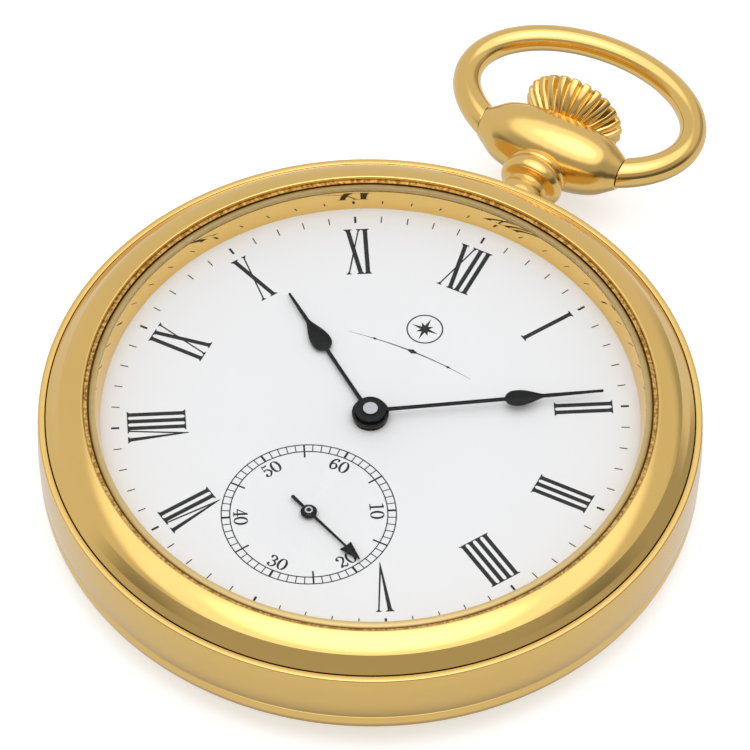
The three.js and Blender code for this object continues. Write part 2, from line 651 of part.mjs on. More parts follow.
const barrelArbor = () => join(rod(0.6, 2.62, 6.5, 10), rod(1.4, 4.75, 5.75, 12));
const mainspring = () => raised(spiralShape(1.7, 6.0, 4, 0.25), 4.8, 5.7);
const ratchetWheel = () => raised(gearShape(GEARS.ratchet, phase.ratchet, 0.65), ...RATCHET_Z);
const ratchetScrew = () => cut(rod(1.5, 2.25, 2.58), block(-2, 2, -0.15, 0.15, 2, 2.4));

add(movement, 'barrel_drum', barrelDrum(), BRASS, BARREL_AT);
add(movement, 'barrel_cover', tube(0.75, 6.2, 5.88, 6.08, 24), BRASS, BARREL_AT);
add(movement, 'mainspring', mainspring(), STEEL, BARREL_AT);
add(movement, 'barrel_arbor', barrelArbor(), STEEL, BARREL_AT);
add(movement, 'ratchet_wheel', ratchetWheel(), STEEL, BARREL_AT);
add(movement, 'ratchet_screw', ratchetScrew(), STEEL, BARREL_AT);

function crownWheel() {
  const rimTeeth = { teeth: GEARS.crownWheel.teeth, module: 0.28 };
  return join(
    raised(gearShape(GEARS.crownWheel, phase.crownWheel, 1.3), ...RATCHET_Z),
    raised(gearShape(rimTeeth, 0, 2.88), RATCHET_Z[1] - 0.1, 4.1),
  );
}

function crownWheelScrew() {
  const body = join(rod(2.0, 2.25, 2.57, 16), rod(1.22, 2.5, 3.08, 12), rod(0.52, 3, 4.3, 8));
  return cut(body, block(-2.2, 2.2, -0.15, 0.15, 2, 2.4));
}

// The click: a pawl that lets the ratchet wheel turn one way, and the wire that presses it home.
function click() {
  const beak = [[-0.55, 0.3], [-0.4, -0.75], [0.5, -1.9], [0.95, -1.7], [0.85, 0.1]];
  return cut(join(rod(0.95, ...RATCHET_Z, 16), raised(polygon(beak), ...RATCHET_Z)), rod(0.45, 2, 4, 8));
}

function clickScrew() {
  return screw({ headR: 0.75, headZ: [2.3, RATCHET_Z[0] - 0.03], shankR: 0.38, shankEnd: BRIDGE_Z[1] });
}

function clickSpring() {
  const wire = polygon([
    [-3.6, 1.6], [-3.35, 1.35], [-0.9, 1.5], [-0.62, 0.98], [-0.5, 1.05], [-0.75, 1.75], [-3.4, 1.8],
  ]);
  return raised(wire, 2.7, 2.95);
}

add(movement, 'crown_wheel', crownWheel(), STEEL, CROWN_WHEEL_AT);
add(movement, 'crown_wheel_screw', crownWheelScrew(), STEEL, CROWN_WHEEL_AT);
add(movement, 'click', click(), STEEL, CLICK_AT);
add(movement, 'click_screw', clickScrew(), BLUE_STEEL, CLICK_AT);
add(movement, 'click_spring', clickSpring(), STEEL, CLICK_AT);

// ---- Movement: keyless work --------------------------------------------------------------------

function windingStem() {
  const [groove0, groove1] = STEM_GROOVE_Y;
  return turnedOnStem([
    [0, 9.2], [STEM_R, 9.2], [STEM_R, groove0], [0.28, groove0], [0.28, groove1], [STEM_R, groove1],
    [STEM_R, 30], [0.45, 30.2], [0.45, 34.2], [0, 34.2],
  ], 10);
}

function windingPinion() {
  const gear = raised(gearShape({ teeth: 13, module: 0.208 }, 0), ...WINDING_PINION_Y);
  const blank = cut(gear, rod(0.56, 10, 16, 12));
  return blank.rotateX(-Math.PI / 2).translate(0, 0, STEM_Z);
}

function slidingPinion() {
  const [y0, y1] = SLIDING_PINION_Y;
  const bore = STEM_R + 0.06;
  const body = turnedOnStem([
    [bore, y0], [1.2, y0], [1.2, 10.95], [0.75, 10.95], [0.75, 11.55], [1.2, 11.55], [1.2, y1], [bore, y1],
  ], 18);
  const notches = [0, 60, 120].map((a) =>
    block(-1.5, 1.5, y0 - 0.1, y0 + 0.35, -0.16, 0.16).rotateY(a * DEG).translate(0, 0, STEM_Z));
  return cut(body, ...notches);
}

function settingLever() {
  const arm = bar([0, 0], [-2.55, -0.6], 0.65, 0.25);
  const pin = at(rod(0.15, 5.9, KEYLESS_Z[1] - 0.05, 8), [-2.62, -0.6]);
  return cut(join(raised(arm, ...KEYLESS_Z, 6), pin), rod(0.34, 6, 8, 8));
}

function yoke() {
  const body = join(
    raised(bar([0, 0], [2.6, 0.2], 0.7, 0.3), ...KEYLESS_Z, 6),
    raised(bar([2.6, 0.2], [4.9, 0.3], 0.28, 0.15), ...KEYLESS_Z, 4),
  );
  return cut(body, rod(0.34, 6, 8, 8));
}

function yokeSpring() {
  const wire = polygon([
    [-9.6, 13.0], [-9.2, 12.7], [-5.2, 12.6], [-3.4, 11.75], [-3.3, 11.9], [-5.1, 12.9], [-9.2, 13.3],
  ]);
  return raised(wire, ...KEYLESS_Z);
}

add(movement, 'winding_stem', windingStem(), STEEL);
add(movement, 'winding_pinion', windingPinion(), STEEL);
add(movement, 'sliding_pinion', slidingPinion(), STEEL);
add(movement, 'setting_lever', settingLever(), STEEL, SETTING_LEVER_AT);
add(movement, 'yoke', yoke(), STEEL, YOKE_AT);
add(movement, 'yoke_spring', yokeSpring(), STEEL);

// ---- Movement: motion work under the dial ------------------------------------------------------

function cannonPinion() {
  const body = join(
    raised(gearShape(GEARS.cannon, phase.cannon), 6.64, 6.92),
    rod(0.7, 6.9, 8.55, 16),
    rod(0.55, 8.5, 9.0, 16),
  );
  return cut(body, rod(0.4, 6, 8.8, 10));
}

function hourWheel() {
  return join(
    raised(gearShape(GEARS.hour, phase.hour, 0.8), 7.0, 7.18),
    tube(0.78, 1.05, 7.0, 8.45, 16),
  );
}

function minuteWheel() {
  const body = join(
    raised(gearShape(GEARS.minute, phase.minute), 6.66, 6.84),
    raised(gearShape(GEARS.minutePinion, phase.minutePinion), 6.8, 7.2),
  );
  return cut(body, rod(0.3, 6, 8, 8));
}

function settingWheel() {
  return cut(raised(gearShape(GEARS.setting, phase.setting), 6.66, 6.84), rod(0.4, 6, 8, 8));
}

add(movement, 'cannon_pinion', cannonPinion(), STEEL);
add(movement, 'hour_wheel', hourWheel(), BRASS);
add(movement, 'minute_wheel', minuteWheel(), BRASS, MINUTE_AT);
add(movement, 'setting_wheel', settingWheel(), STEEL, SETTING_AT);

// ---- Movement: going train ---------------------------------------------------------------------

add(movement, 'center_wheel', trainWheel({
  wheel: { ...GEARS.center, phase: phase.center, z: [4.1, 4.28] },
  pinion: { ...GEARS.centerPinion, phase: phase.centerPinion, z: [4.25, 4.8] },
  arbor: { r: 0.34, z: [4.06, 8.7], pivots: [3.3, 4.1] },
}), BRASS);

add(movement, 'third_wheel', trainWheel({
  wheel: { ...GEARS.third, phase: phase.third, z: [4.42, 4.58] },
  pinion: { ...GEARS.thirdPinion, phase: phase.thirdPinion, z: [4.08, 4.45] },
  arbor: { r: 0.25, z: [4.04, 5.55], pivots: [3.3, 6.2] },
}), BRASS, THIRD_AT);

add(movement, 'fourth_wheel', trainWheel({
  wheel: { ...GEARS.fourth, phase: phase.fourth, z: [4.72, 4.88] },
  pinion: { ...GEARS.fourthPinion, phase: phase.fourthPinion, z: [4.36, 4.75] },
  arbor: { r: 0.2, z: [4.04, 8.25], pivots: [3.3, 4.1] },
}), BRASS, FOURTH_AT);

// The escape wheel's slanted club teeth.
function escapeShape() {
  const points = [];
  for (let i = 0; i < ESCAPE_TEETH; i++) {
    const start = ((2 * Math.PI) / ESCAPE_TEETH) * i;
    points.push(polar(1.75, start));
    points.push(polar(1.72, start + 9 * DEG));
    points.push(polar(2.42, start + 17 * DEG));
    points.push(polar(2.5, start + 22 * DEG));
    points.push(polar(1.85, start + 17.5 * DEG));
  }
  return polygon(points);
}

function escapeWheel() {
  const shape = escapeShape();
  addWindows(shape, 4, 0.7, 1.45, 0.12);
  return join(
    raised(shape, 5.1, 5.25),
    raised(gearShape(GEARS.escapePinion, phase.escapePinion), 4.68, 5.13),
    rod(0.18, 4.04, 5.55, 8),
    rod(PIVOT_R, 3.3, 6.2, 6),
  );
}

// The pallet fork: two arms with their stones, a lever towards the balance and its notched end.
function palletFork() {
  const towardsBalance = direction(PALLET_AT, BALANCE_AT);
  const lever = polygon([
    [0, -0.16], [4.3, -0.1], [4.5, -0.42], [5.2, -0.42], [5.2, -0.17], [4.8, -0.15],
    [4.8, 0.15], [5.2, 0.17], [5.2, 0.42], [4.5, 0.42], [4.3, 0.1], [0, 0.16],
  ]);
  const arms = polygon([
    [-0.75, -1.75], [-0.45, -1.75], [0.25, -0.35], [0.25, 0.35], [-0.45, 1.75], [-0.75, 1.75],
    [-0.75, 1.45], [-0.3, 0.3], [-0.3, -0.3], [-0.75, -1.45],
  ]);
  const level = [5.12, 5.27];
  return join(
    raised(lever, ...level).rotateZ(towardsBalance),
    raised(arms, ...level).rotateZ(towardsBalance),
    rod(0.2, 5.05, 5.55, 8),
    rod(PIVOT_R, 4.9, 6.2, 6),
  );
}

function balanceWheel() {
  const rim = tube(BALANCE_R - 0.55, BALANCE_R, 3.88, 4.3, 28);
  const arm = block(-BALANCE_R + 0.3, BALANCE_R - 0.3, -0.3, 0.3, 3.98, 4.2);
  const impulsePin = polar(1.0, direction(BALANCE_AT, PALLET_AT));
  return join(
    rim, arm, arm.clone().rotateZ(Math.PI / 2),
    rod(0.3, 3.55, 5.5, 10), rod(PIVOT_R, 3.1, 6.2, 6),
    rod(1.25, 4.8, 4.95, 16),
    at(rod(0.12, 4.9, 5.3, 8), impulsePin),
  );
}

const hairspring = () => raised(spiralShape(0.45, 2.7, 4, 0.08), 3.58, 3.8);

function regulator() {
  const level = [2.3, 2.56];
  const lever = join(tube(0.6, 1.35, ...level), raised(bar([1.2, 0], [4.6, 0], 0.3, 0.12), ...level, 4));
  return lever.rotateZ(direction(BALANCE_AT, BALANCE_COCK_SCREW) + 28 * DEG);
}

add(movement, 'escape_wheel', escapeWheel(), STEEL, ESCAPE_AT);
add(movement, 'pallet_fork', palletFork(), STEEL, PALLET_AT);
add(movement, 'balance_wheel', balanceWheel(), BRASS, BALANCE_AT);
add(movement, 'hairspring', hairspring(), BLUE_STEEL, BALANCE_AT);
add(movement, 'regulator', regulator(), STEEL, BALANCE_AT);

export default watch;
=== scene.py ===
"""A gold open-face pocket watch on its back on a pale floor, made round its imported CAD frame.

Lengths are in millimetres up to the point where a mesh is made, and metres from there on. The watch lies with
+Z out of its dial, +Y towards the 12 and the pendant, and +X towards the 3.
"""
import json
import math

import bmesh
import bpy
from mathutils import Matrix, Quaternion, Vector
from mathutils.geometry import delaunay_2d_cdt


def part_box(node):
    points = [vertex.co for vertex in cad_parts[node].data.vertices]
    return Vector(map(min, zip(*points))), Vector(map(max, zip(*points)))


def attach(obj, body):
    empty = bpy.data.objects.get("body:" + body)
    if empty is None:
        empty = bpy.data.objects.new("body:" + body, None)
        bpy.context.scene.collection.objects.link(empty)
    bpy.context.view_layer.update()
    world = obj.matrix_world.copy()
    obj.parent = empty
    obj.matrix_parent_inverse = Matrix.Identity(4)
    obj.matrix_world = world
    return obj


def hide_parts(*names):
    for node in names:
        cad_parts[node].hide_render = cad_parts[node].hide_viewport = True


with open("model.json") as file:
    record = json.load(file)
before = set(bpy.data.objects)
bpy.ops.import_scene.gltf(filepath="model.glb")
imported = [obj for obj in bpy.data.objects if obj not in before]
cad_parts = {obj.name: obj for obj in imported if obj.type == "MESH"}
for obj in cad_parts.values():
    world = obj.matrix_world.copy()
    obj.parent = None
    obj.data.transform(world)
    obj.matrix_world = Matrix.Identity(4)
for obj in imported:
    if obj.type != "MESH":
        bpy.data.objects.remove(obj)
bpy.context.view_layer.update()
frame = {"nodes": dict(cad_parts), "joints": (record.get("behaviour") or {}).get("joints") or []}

MM = 0.001


def low(node):
    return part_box(node)[0] / MM


def high(node):
    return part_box(node)[1] / MM


def joint_point(name):
    found = next(j for j in frame["joints"] if j["name"] == name)
    return Vector(found["pos_m"]) / MM


# ---- Sizes and places read from the frame ------------------------------------------------------

CASE_R = high("case_band").x
BAND_FOOT_Z = low("case_band").z
BAND_TOP_Z = high("case_band").z
BACK_SEAM_Z = high("back_cover").z
FRONT_SEAM_R = high("bezel").x
FRONT_SEAM_Z = low("bezel").z
BEZEL_TOP_Z = high("bezel").z
CRYSTAL_R = high("crystal").x
CRYSTAL_Z = low("crystal").z
CRYSTAL_TOP_Z = high("crystal").z
GASKET_R = high("crystal_gasket").x
DIAL_Z = high("dial").z
DIAL_R = high("dial").x
FLANGE_R = high("dial_flange").x
FLANGE_TOP_Z = high("dial_flange").z
STEM_Z = (low("winding_stem").z + high("winding_stem").z) / 2
HEAD_HALF = high("pendant").x
HEAD_Y = joint_point("bow_swing").y
CROWN_SEAT_Y = high("pendant").y
CROWN_Y = low("crown").y
BOW_TOP_Y = high("bow").y
SECONDS_Y = (low("fourth_wheel").y + high("fourth_wheel").y) / 2

# ---- Curves and outlines -----------------------------------------------------------------------

CORNER_SHARE = 0.45  # the most of a side that the rounding of one corner takes


def through(points, steps=6):
    """A smooth open curve through the points, with that many steps between two of them."""
    p = [Vector(q) for q in points]
    p = [2 * p[0] - p[1], *p, 2 * p[-1] - p[-2]]
    curve = []
    for i in range(1, len(p) - 2):
        a, b, c, d = p[i - 1 : i + 3]
        slope = c - a
        bend = 2 * a - 5 * b + 4 * c - d
        twist = 3 * b - a - 3 * c + d
        for k in range(steps):
            t = k / steps
            curve.append(0.5 * (2 * b + slope * t + bend * t ** 2 + twist * t ** 3))
    return [*curve, p[-2]]


def rounded(points, radius, steps=4, closed=True):
    """An outline with its corners rounded, apart from the two ends of an open one."""
    outline = []
    for i, corner in enumerate(points):
        corner = Vector(corner)
        if not closed and i in (0, len(points) - 1):
            outline.append(corner)
            continue
        back = Vector(points[i - 1]) - corner
        ahead = Vector(points[(i + 1) % len(points)]) - corner
        room = min(radius, CORNER_SHARE * back.length, CORNER_SHARE * ahead.length)
        start = corner + back.normalized() * room
        end = corner + ahead.normalized() * room
        for k in range(steps + 1):
            t = k / steps
            outline.append(start.lerp(corner, t).lerp(corner.lerp(end, t), t))
    return outline


def circle(radius, centre=(0, 0), count=64):
    turns = (math.tau * i / count for i in range(count))
    return [Vector((centre[0] + radius * math.cos(a), centre[1] + radius * math.sin(a))) for a in turns]


def polar(radius, degrees):
    """A point on the dial at that many degrees clockwise from 12."""
    a = math.radians(degrees)
    return Vector((radius * math.sin(a), radius * math.cos(a)))


def bar(x0, x1, y0, y1):
    """An upright four-sided outline."""
    return [(x0, y0), (x1, y0), (x1, y1), (x0, y1)]


def tube(inner, outer, start, end):
    """The outline of a plain ring from start to end along its axis, for lathe."""
    return [(inner, start), (outer, start), (outer, end), (inner, end)]


def cylinder(radius, start, end):
    """The outline of a plain round bar, for lathe."""
    return tube(0, radius, start, end)


# ---- Meshes ------------------------------------------------------------------------------------

RING_SEGMENTS = 256
UP = Vector((0, 0, 1))
STILL = Matrix.Identity(4)
ABOUT_Y = Matrix.Translation((0, 0, STEM_Z)) @ Matrix.Rotation(-math.pi / 2, 4, "X")
ABOUT_X = Matrix.Rotation(math.pi / 2, 4, "Y")
SHARP = math.radians(32)
WELD = 1e-5  # points closer than this are one
ON_AXIS = 1e-6
INSIDE_FACES = 1  # the kind of output asked of the triangulation


def mesh_object(name, bm, turn=STILL):
    """Turns a bmesh in millimetres into a shaded object in metres."""
    bmesh.ops.remove_doubles(bm, verts=bm.verts, dist=WELD)
    bmesh.ops.recalc_face_normals(bm, faces=bm.faces)
    mesh = bpy.data.meshes.new(name)
    bm.to_mesh(mesh)
    bm.free()
    mesh.transform(Matrix.Scale(MM, 4) @ turn)
    made = bpy.data.objects.new(name, mesh)
    bpy.context.scene.collection.objects.link(made)
    shade(made)
    return made


def shade(made):
    made.data.shade_smooth()
    made.data.set_sharp_from_angle(angle=SHARP)


def skin(bm, rings):
    """Joins each closed ring of vertices to the next. Points that meet on the axis count once."""
    for a, b in zip(rings, rings[1:]):
        for i in range(len(a)):
            j = (i + 1) % len(a)
            corners = list(dict.fromkeys((a[i], a[j], b[j], b[i])))
            if len(corners) > 2:
                bm.faces.new(corners)


def lathe(name, profile, segments=RING_SEGMENTS, turn=STILL):
    """A closed solid of revolution about Z from (radius, z) points."""
    bm = bmesh.new()
    rings = []
    for radius, z in profile:
        if radius < ON_AXIS:
            rings.append([bm.verts.new((0, 0, z))] * segments)
            continue
        turns = [math.tau * i / segments for i in range(segments)]
        rings.append([bm.verts.new((radius * math.cos(a), radius * math.sin(a), z)) for a in turns])
    if profile[0][0] > ON_AXIS:
        rings.append(rings[0])
    skin(bm, rings)
    return mesh_object(name, bm, turn)


def anticlockwise(polygon):
    area = sum(p[0] * q[1] - q[0] * p[1] for p, q in zip(polygon, polygon[1:] + polygon[:1]))
    return polygon if area > 0 else polygon[::-1]


def plate(name, solids, z0, z1, holes=()):
    """A flat plate from z0 to z1 whose outline is the union of the solid polygons less the holes."""
    points, faces = [], []
    for polygon in map(anticlockwise, map(list, (*solids, *holes))):
        faces.append(list(range(len(points), len(points) + len(polygon))))
        points.extend(Vector(p) for p in polygon)
    corners, _, triangles, _, _, sources = delaunay_2d_cdt(points, [], faces, INSIDE_FACES, WELD)
    kept = [t for t, s in zip(triangles, sources) if s and max(s) < len(solids)]
    bm = bmesh.new()
    bottom = [bm.verts.new((p.x, p.y, z0)) for p in corners]
    top = [bm.verts.new((p.x, p.y, z1)) for p in corners]
    edges = {}
    for t in kept:
        bm.faces.new([top[i] for i in t])
        bm.faces.new([bottom[i] for i in reversed(t)])
        for i, j in zip(t, (*t[1:], t[0])):
            edges[i, j] = True
    for i, j in edges:
        if (j, i) not in edges:
            bm.faces.new((bottom[i], bottom[j], top[j], top[i]))
    bmesh.ops.delete(bm, geom=[v for v in bm.verts if not v.link_faces], context="VERTS")
    return mesh_object(name, bm)


def combined(body, operation, *tools):
    """body joined with the tools, or cut by them. The tools are used up."""
    for tool in tools:
        step = body.modifiers.new("step", "BOOLEAN")
        step.operation = operation
        step.solver = "EXACT"
        step.object = tool
        keep_shape(body)
        bpy.data.objects.remove(tool)
    return body


def keep_shape(made):
    """Turns an object's modifiers into its mesh."""
    bpy.context.view_layer.update()
    shaped = bpy.data.meshes.new_from_object(made.evaluated_get(bpy.context.evaluated_depsgraph_get()))
    made.modifiers.clear()
    made.data = shaped
    shade(made)


def softened(made, width, segments=2, angle=30):
    """Bevels the sharp edges, by a width in millimetres."""
    bevel = made.modifiers.new("edges", "BEVEL")
    bevel.width = width * MM
    bevel.segments = segments
    bevel.limit_method = "ANGLE"
    bevel.angle_limit = math.radians(angle)
    keep_shape(made)
    return made


def piece(made, material, body, *nodes, slot=None):
    """Gives a finished object its material and the body it rides on, and hides the CAD nodes it stands for.
    """
    made.data.materials.clear()
    made.data.materials.append(material)
    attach(made, body)
    if nodes:
        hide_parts(*nodes)
    return made


# ---- Materials ---------------------------------------------------------------------------------

NOISE_LEAST, NOISE_MOST = 0.3, 0.7  # most of a noise lies between these
COLOUR_ONE, COLOUR_TWO, COLOUR_MIXED = 6, 7, 2  # the sockets of a Mix node that blends colours
NUMBER_ONE, NUMBER_TWO = 2, 3  # and of one that blends numbers
WHITE = (1, 1, 1, 1)


class Graph:
    """Builds the nodes of a material or a world."""

    def __init__(self, owner):
        owner.use_nodes = True
        self.nodes = owner.node_tree.nodes
        self.links = owner.node_tree.links

    def feed(self, value, socket):
        """Links the value to the socket if it is another node's output, and else sets it."""
        if isinstance(value, bpy.types.NodeSocket):
            self.links.new(value, socket)
        else:
            socket.default_value = value

    def node(self, kind, inputs=None, **settings):
        made = self.nodes.new(kind)
        for key, value in settings.items():
            setattr(made, key, value)
        for key, value in (inputs or {}).items():
            self.feed(value, made.inputs[key])
        return made

    def math(self, operation, one, two):
        return self.node("ShaderNodeMath", {0: one, 1: two}, operation=operation).outputs[0]

    def blend(self, factor, one, two):
        """A colour that is one where the factor is 0 and two where it is 1."""
        inputs = {0: factor, COLOUR_ONE: one, COLOUR_TWO: two}
        return self.node("ShaderNodeMix", inputs, data_type="RGBA").outputs[COLOUR_MIXED]


class Finish(Graph):
    """A procedural material, built round one Principled shader."""

    def __init__(self, name, **sockets):
        self.material = bpy.data.materials.new(name)
        super().__init__(self.material)
        self.shader = next(n for n in self.nodes if n.type == "BSDF_PRINCIPLED")
        for socket, value in sockets.items():
            self.feed(value, self.shader.inputs[socket.replace("_", " ")])
        self.place = self.node("ShaderNodeTexCoord").outputs["Object"]

    def stretched(self, scale):
        return self.node("ShaderNodeMapping", {"Vector": self.place, "Scale": scale}).outputs["Vector"]

    def noise(self, grain, detail, vector=None):
        """Noise whose features are about grain millimetres across."""
        inputs = {"Vector": vector or self.place, "Scale": 1 / (grain * MM), "Detail": detail}
        return self.node("ShaderNodeTexNoise", inputs).outputs["Fac"]

    def spread(self, noise, least, most):
        """The noise's usual span drawn out to run from least to most."""
        return self.ramp(noise, NOISE_LEAST, NOISE_MOST, least, most)

    def ramp(self, value, start, end, least, most):
        """From least to most as the value goes from start to end."""
        inputs = {"Value": value, "From Min": start, "From Max": end, "To Min": least, "To Max": most}
        return self.node("ShaderNodeMapRange", inputs).outputs["Result"]

    def colour(self, factor, one, two):
        self.feed(self.blend(factor, (*one, 1), (*two, 1)), self.shader.inputs["Base Color"])

    def roughness(self, noise, least, most):
        self.feed(self.spread(noise, least, most), self.shader.inputs["Roughness"])

    def bump(self, height, distance):
        """Relief of that height in millimetres."""
        made = self.node("ShaderNodeBump", {"Height": height, "Distance": distance * MM, "Strength": 1.0})
        self.feed(made.outputs["Normal"], self.shader.inputs["Normal"])


GOLD_DEEP = (0.84, 0.545, 0.16)
GOLD_LIGHT = (0.87, 0.585, 0.185)


def gold(name, least, most, scale, relief):
    """Gold plate: its colour drifts a little, over fine polishing lines that also vary its gloss."""
    made = Finish(name, Metallic=1.0, Coat_Weight=0.4, Coat_Roughness=0.06)
    lines = made.noise(0.25, 4, made.stretched(scale))
    made.colour(made.noise(6.0, 2), GOLD_DEEP, GOLD_LIGHT)
    made.roughness(lines, least, most)
    made.bump(lines, relief)
    return made.material


SHEEN_MOST = 0.4  # the crystal's share of mirror sheen where it is seen edge on
SHEEN_POWER = 4  # and how fast that falls off


def crystal_glass():
    """Clear glass seen through unbent, with a mirror sheen that grows where it is seen along its surface."""
    material = bpy.data.materials.new("crystal_glass")
    made = Graph(material)
    made.nodes.clear()
    grazing = made.node("ShaderNodeLayerWeight").outputs["Facing"]
    share = made.math("MULTIPLY", made.math("POWER", grazing, SHEEN_POWER), SHEEN_MOST)
    clear = made.node("ShaderNodeBsdfTransparent", {"Color": WHITE})
    sheen = made.node("ShaderNodeBsdfGlossy", {"Roughness": 0.02})
    mixed = made.node("ShaderNodeMixShader", {0: share, 1: clear.outputs[0], 2: sheen.outputs[0]})
    made.node("ShaderNodeOutputMaterial", {"Surface": mixed.outputs[0]})
    return material


def dial_enamel():
    """White enamel, faintly uneven in tone and gloss."""
    made = Finish("dial_enamel")
    grain = made.noise(0.12, 2)
    made.colour(made.noise(9.0, 2), (0.815, 0.815, 0.81), (0.835, 0.835, 0.83))
    made.roughness(grain, 0.4, 0.52)
    made.bump(grain, 0.0008)
    return made.material


def black_paint(name, least, most, tone):
    """Black paint whose tone drifts by three tenths either way."""
    made = Finish(name, Specular_IOR_Level=0.22)
    grain = made.noise(0.3, 3)
    made.colour(made.noise(2.0, 2), (0.7 * tone,) * 3, (1.3 * tone,) * 3)
    made.roughness(grain, least, most)
    made.bump(grain, 0.0006)
    return made.material


def metal(name, one, two, least, most, scale):
    """A worked metal: two close tones, and a grain drawn out along one way."""
    made = Finish(name, Metallic=1.0)
    lines = made.noise(0.2, 4, made.stretched(scale))
    made.colour(made.noise(3.0, 2), one, two)
    made.roughness(lines, least, most)
    made.bump(lines, 0.001)
    return made.material


def striped_nickel():
    """Nickel plate with broad slanting stripes ground across it."""
    made = Finish("striped_nickel", Metallic=1.0)
    stripes = {"Vector": made.stretched((1, 0.6, 0)), "Scale": 330.0, "Distortion": 0.0}
    wave = made.node("ShaderNodeTexWave", stripes).outputs["Fac"]
    made.colour(wave, (0.62, 0.61, 0.585), (0.70, 0.69, 0.66))
    made.roughness(made.noise(0.1, 3, made.stretched((1, 8, 1))), 0.2, 0.34)
    made.bump(wave, 0.004)
    return made.material


# Above these heights the seat's top is flecked with gold. The flecks are painted refraction, not the seat's
# own colour.
REFRACTION_FLECKS_FROM_Z = 9.7  # the crystal's seat is plain amber below this
REFRACTION_FLECKS_FULL_Z = 9.77


def speckled_amber():
    """The crystal's dark amber seat. The gold flecks on its top are painted refraction, the glints seen
    through the crystal's edge.
    """
    made = Finish("speckled_amber", Metallic=1.0)
    grain = made.noise(0.22, 3)
    z = made.node("ShaderNodeSeparateXYZ", {"Vector": made.place}).outputs["Z"]
    hidden = made.ramp(z, REFRACTION_FLECKS_FROM_Z * MM, REFRACTION_FLECKS_FULL_Z * MM, -2.0, 0.0)
    refraction_flecks = made.node("ShaderNodeMath", {0: hidden, 1: made.spread(grain, -0.5, 1.4)}, operation="ADD",
                       use_clamp=True).outputs[0]
    made.colour(refraction_flecks, (0.30, 0.155, 0.032), (0.70, 0.46, 0.16))
    made.roughness(grain, 0.42, 0.3)
    made.bump(grain, 0.004)
    return made.material


def gilt_glass():
    """The crystal's edge as an opaque gold surface. Its mottled pale gold is painted refraction of the seat
    seen through the glass.
    """
    made = Finish("gilt_glass", Metallic=1.0)
    mottle = made.noise(0.5, 3)
    made.colour(made.spread(mottle, 0.2, 0.8), (0.50, 0.365, 0.155), (0.57, 0.43, 0.2))
    made.roughness(mottle, 0.36, 0.44)
    made.bump(mottle, 0.001)
    return made.material


def black_rubber():
    made = Finish("black_rubber", Roughness=0.8)
    grain = made.noise(0.1, 3)
    made.colour(grain, (0.012, 0.012, 0.012), (0.03, 0.03, 0.03))
    made.bump(grain, 0.004)
    return made.material


EVEN = (1, 1, 1)  # the grain of a finish that isn't brushed along one way

MIRROR = gold("mirror_gold", 0.02, 0.05, EVEN, 0.0002)
POLISHED = gold("polished_gold", 0.06, 0.11, EVEN, 0.0003)
BRUSHED = gold("brushed_gold", 0.15, 0.22, (1, 1, 6), 0.0003)
SATIN = gold("satin_gold", 0.15, 0.21, (0.15, 1, 1), 0.0005)
CUT_GOLD = gold("cut_gold", 0.10, 0.16, (1, 0.3, 1), 0.0003)
GLASS = crystal_glass()
ENAMEL = dial_enamel()
INK = black_paint("dial_ink", 0.45, 0.6, 0.026)
GLOSS_BLACK = black_paint("gloss_black", 0.12, 0.2, 0.008)
BRASS = metal("satin_brass", (0.60, 0.42, 0.16), (0.66, 0.47, 0.20), 0.28, 0.42, (1, 6, 1))
STEEL = metal("polished_steel", (0.50, 0.51, 0.53), (0.58, 0.59, 0.60), 0.16, 0.3, (6, 1, 1))
BLUED = metal("blued_steel", (0.012, 0.03, 0.16), (0.03, 0.07, 0.28), 0.12, 0.22, EVEN)
NICKEL = striped_nickel()
AMBER_WITH_PAINTED_REFRACTION = speckled_amber()
GLASS_EDGE_PAINTED_REFRACTION = gilt_glass()
RUBBER = black_rubber()

# ---- Case --------------------------------------------------------------------------------------

CASE_BORE_R = 20.5  # the room for the movement
NECK_HOLE_R = 1.7
SPIGOT_R = 22.3  # where the back and the bezel snap on inside the band
GAP = 0.02  # between parts that fit together
EDGE = 0.05  # rounding of the machined edges
GROOVE = 0.13  # depth of the groove under the bezel
BACK_FLAT_R = 11
BACK_T = 0.8
BEZEL_BORE_R = GASKET_R + GAP
BEZEL_INSIDE_Z = 9.05
SEAT_FOOT_R = 20.16  # inner edge of the crystal's seat, and the top of the flange
BEVEL_R = 20.14  # where the crystal's bevelled edge begins
BEVEL_TOP_Z = 9.87
FLANGE_T = 0.63  # how far the flange's foot reaches inwards


def case_band():
    """The middle of the case: a faintly bowed wall under a flat ledge, with grooves at both seams."""
    widest = CASE_R - 0.003
    foot = (widest - 0.16, BACK_SEAM_Z + EDGE)
    shoulder = (widest - 0.06, FRONT_SEAM_Z - 0.07)
    wall = through([
        foot, (widest - 0.07, BACK_SEAM_Z + 0.5), (widest - 0.015, BACK_SEAM_Z + 1.2),
        (widest, BACK_SEAM_Z + 2.1), (widest - 0.01, FRONT_SEAM_Z - 1.1), shoulder,
    ], 8)
    ledge_z = FRONT_SEAM_Z + 0.01
    groove_z = FRONT_SEAM_Z - GROOVE
    upper_r = SPIGOT_R - 0.1
    inside = rounded([
        shoulder, (widest - 0.13, ledge_z), (FRONT_SEAM_R + 0.09, ledge_z), (FRONT_SEAM_R + 0.03, groove_z),
        (upper_r, groove_z), (upper_r, BAND_TOP_Z), (CASE_BORE_R, BAND_TOP_Z), (CASE_BORE_R, BAND_FOOT_Z),
        (SPIGOT_R, BAND_FOOT_Z), (SPIGOT_R, BACK_SEAM_Z + GAP), foot,
    ], EDGE, 3, closed=False)
    ring = lathe("case_band_shell", [*wall[:-1], *inside[:-1]])
    hole = lathe("hole", cylinder(NECK_HOLE_R, CASE_BORE_R - 2, CASE_R + 2), 64, ABOUT_Y)
    return combined(ring, "DIFFERENCE", hole)


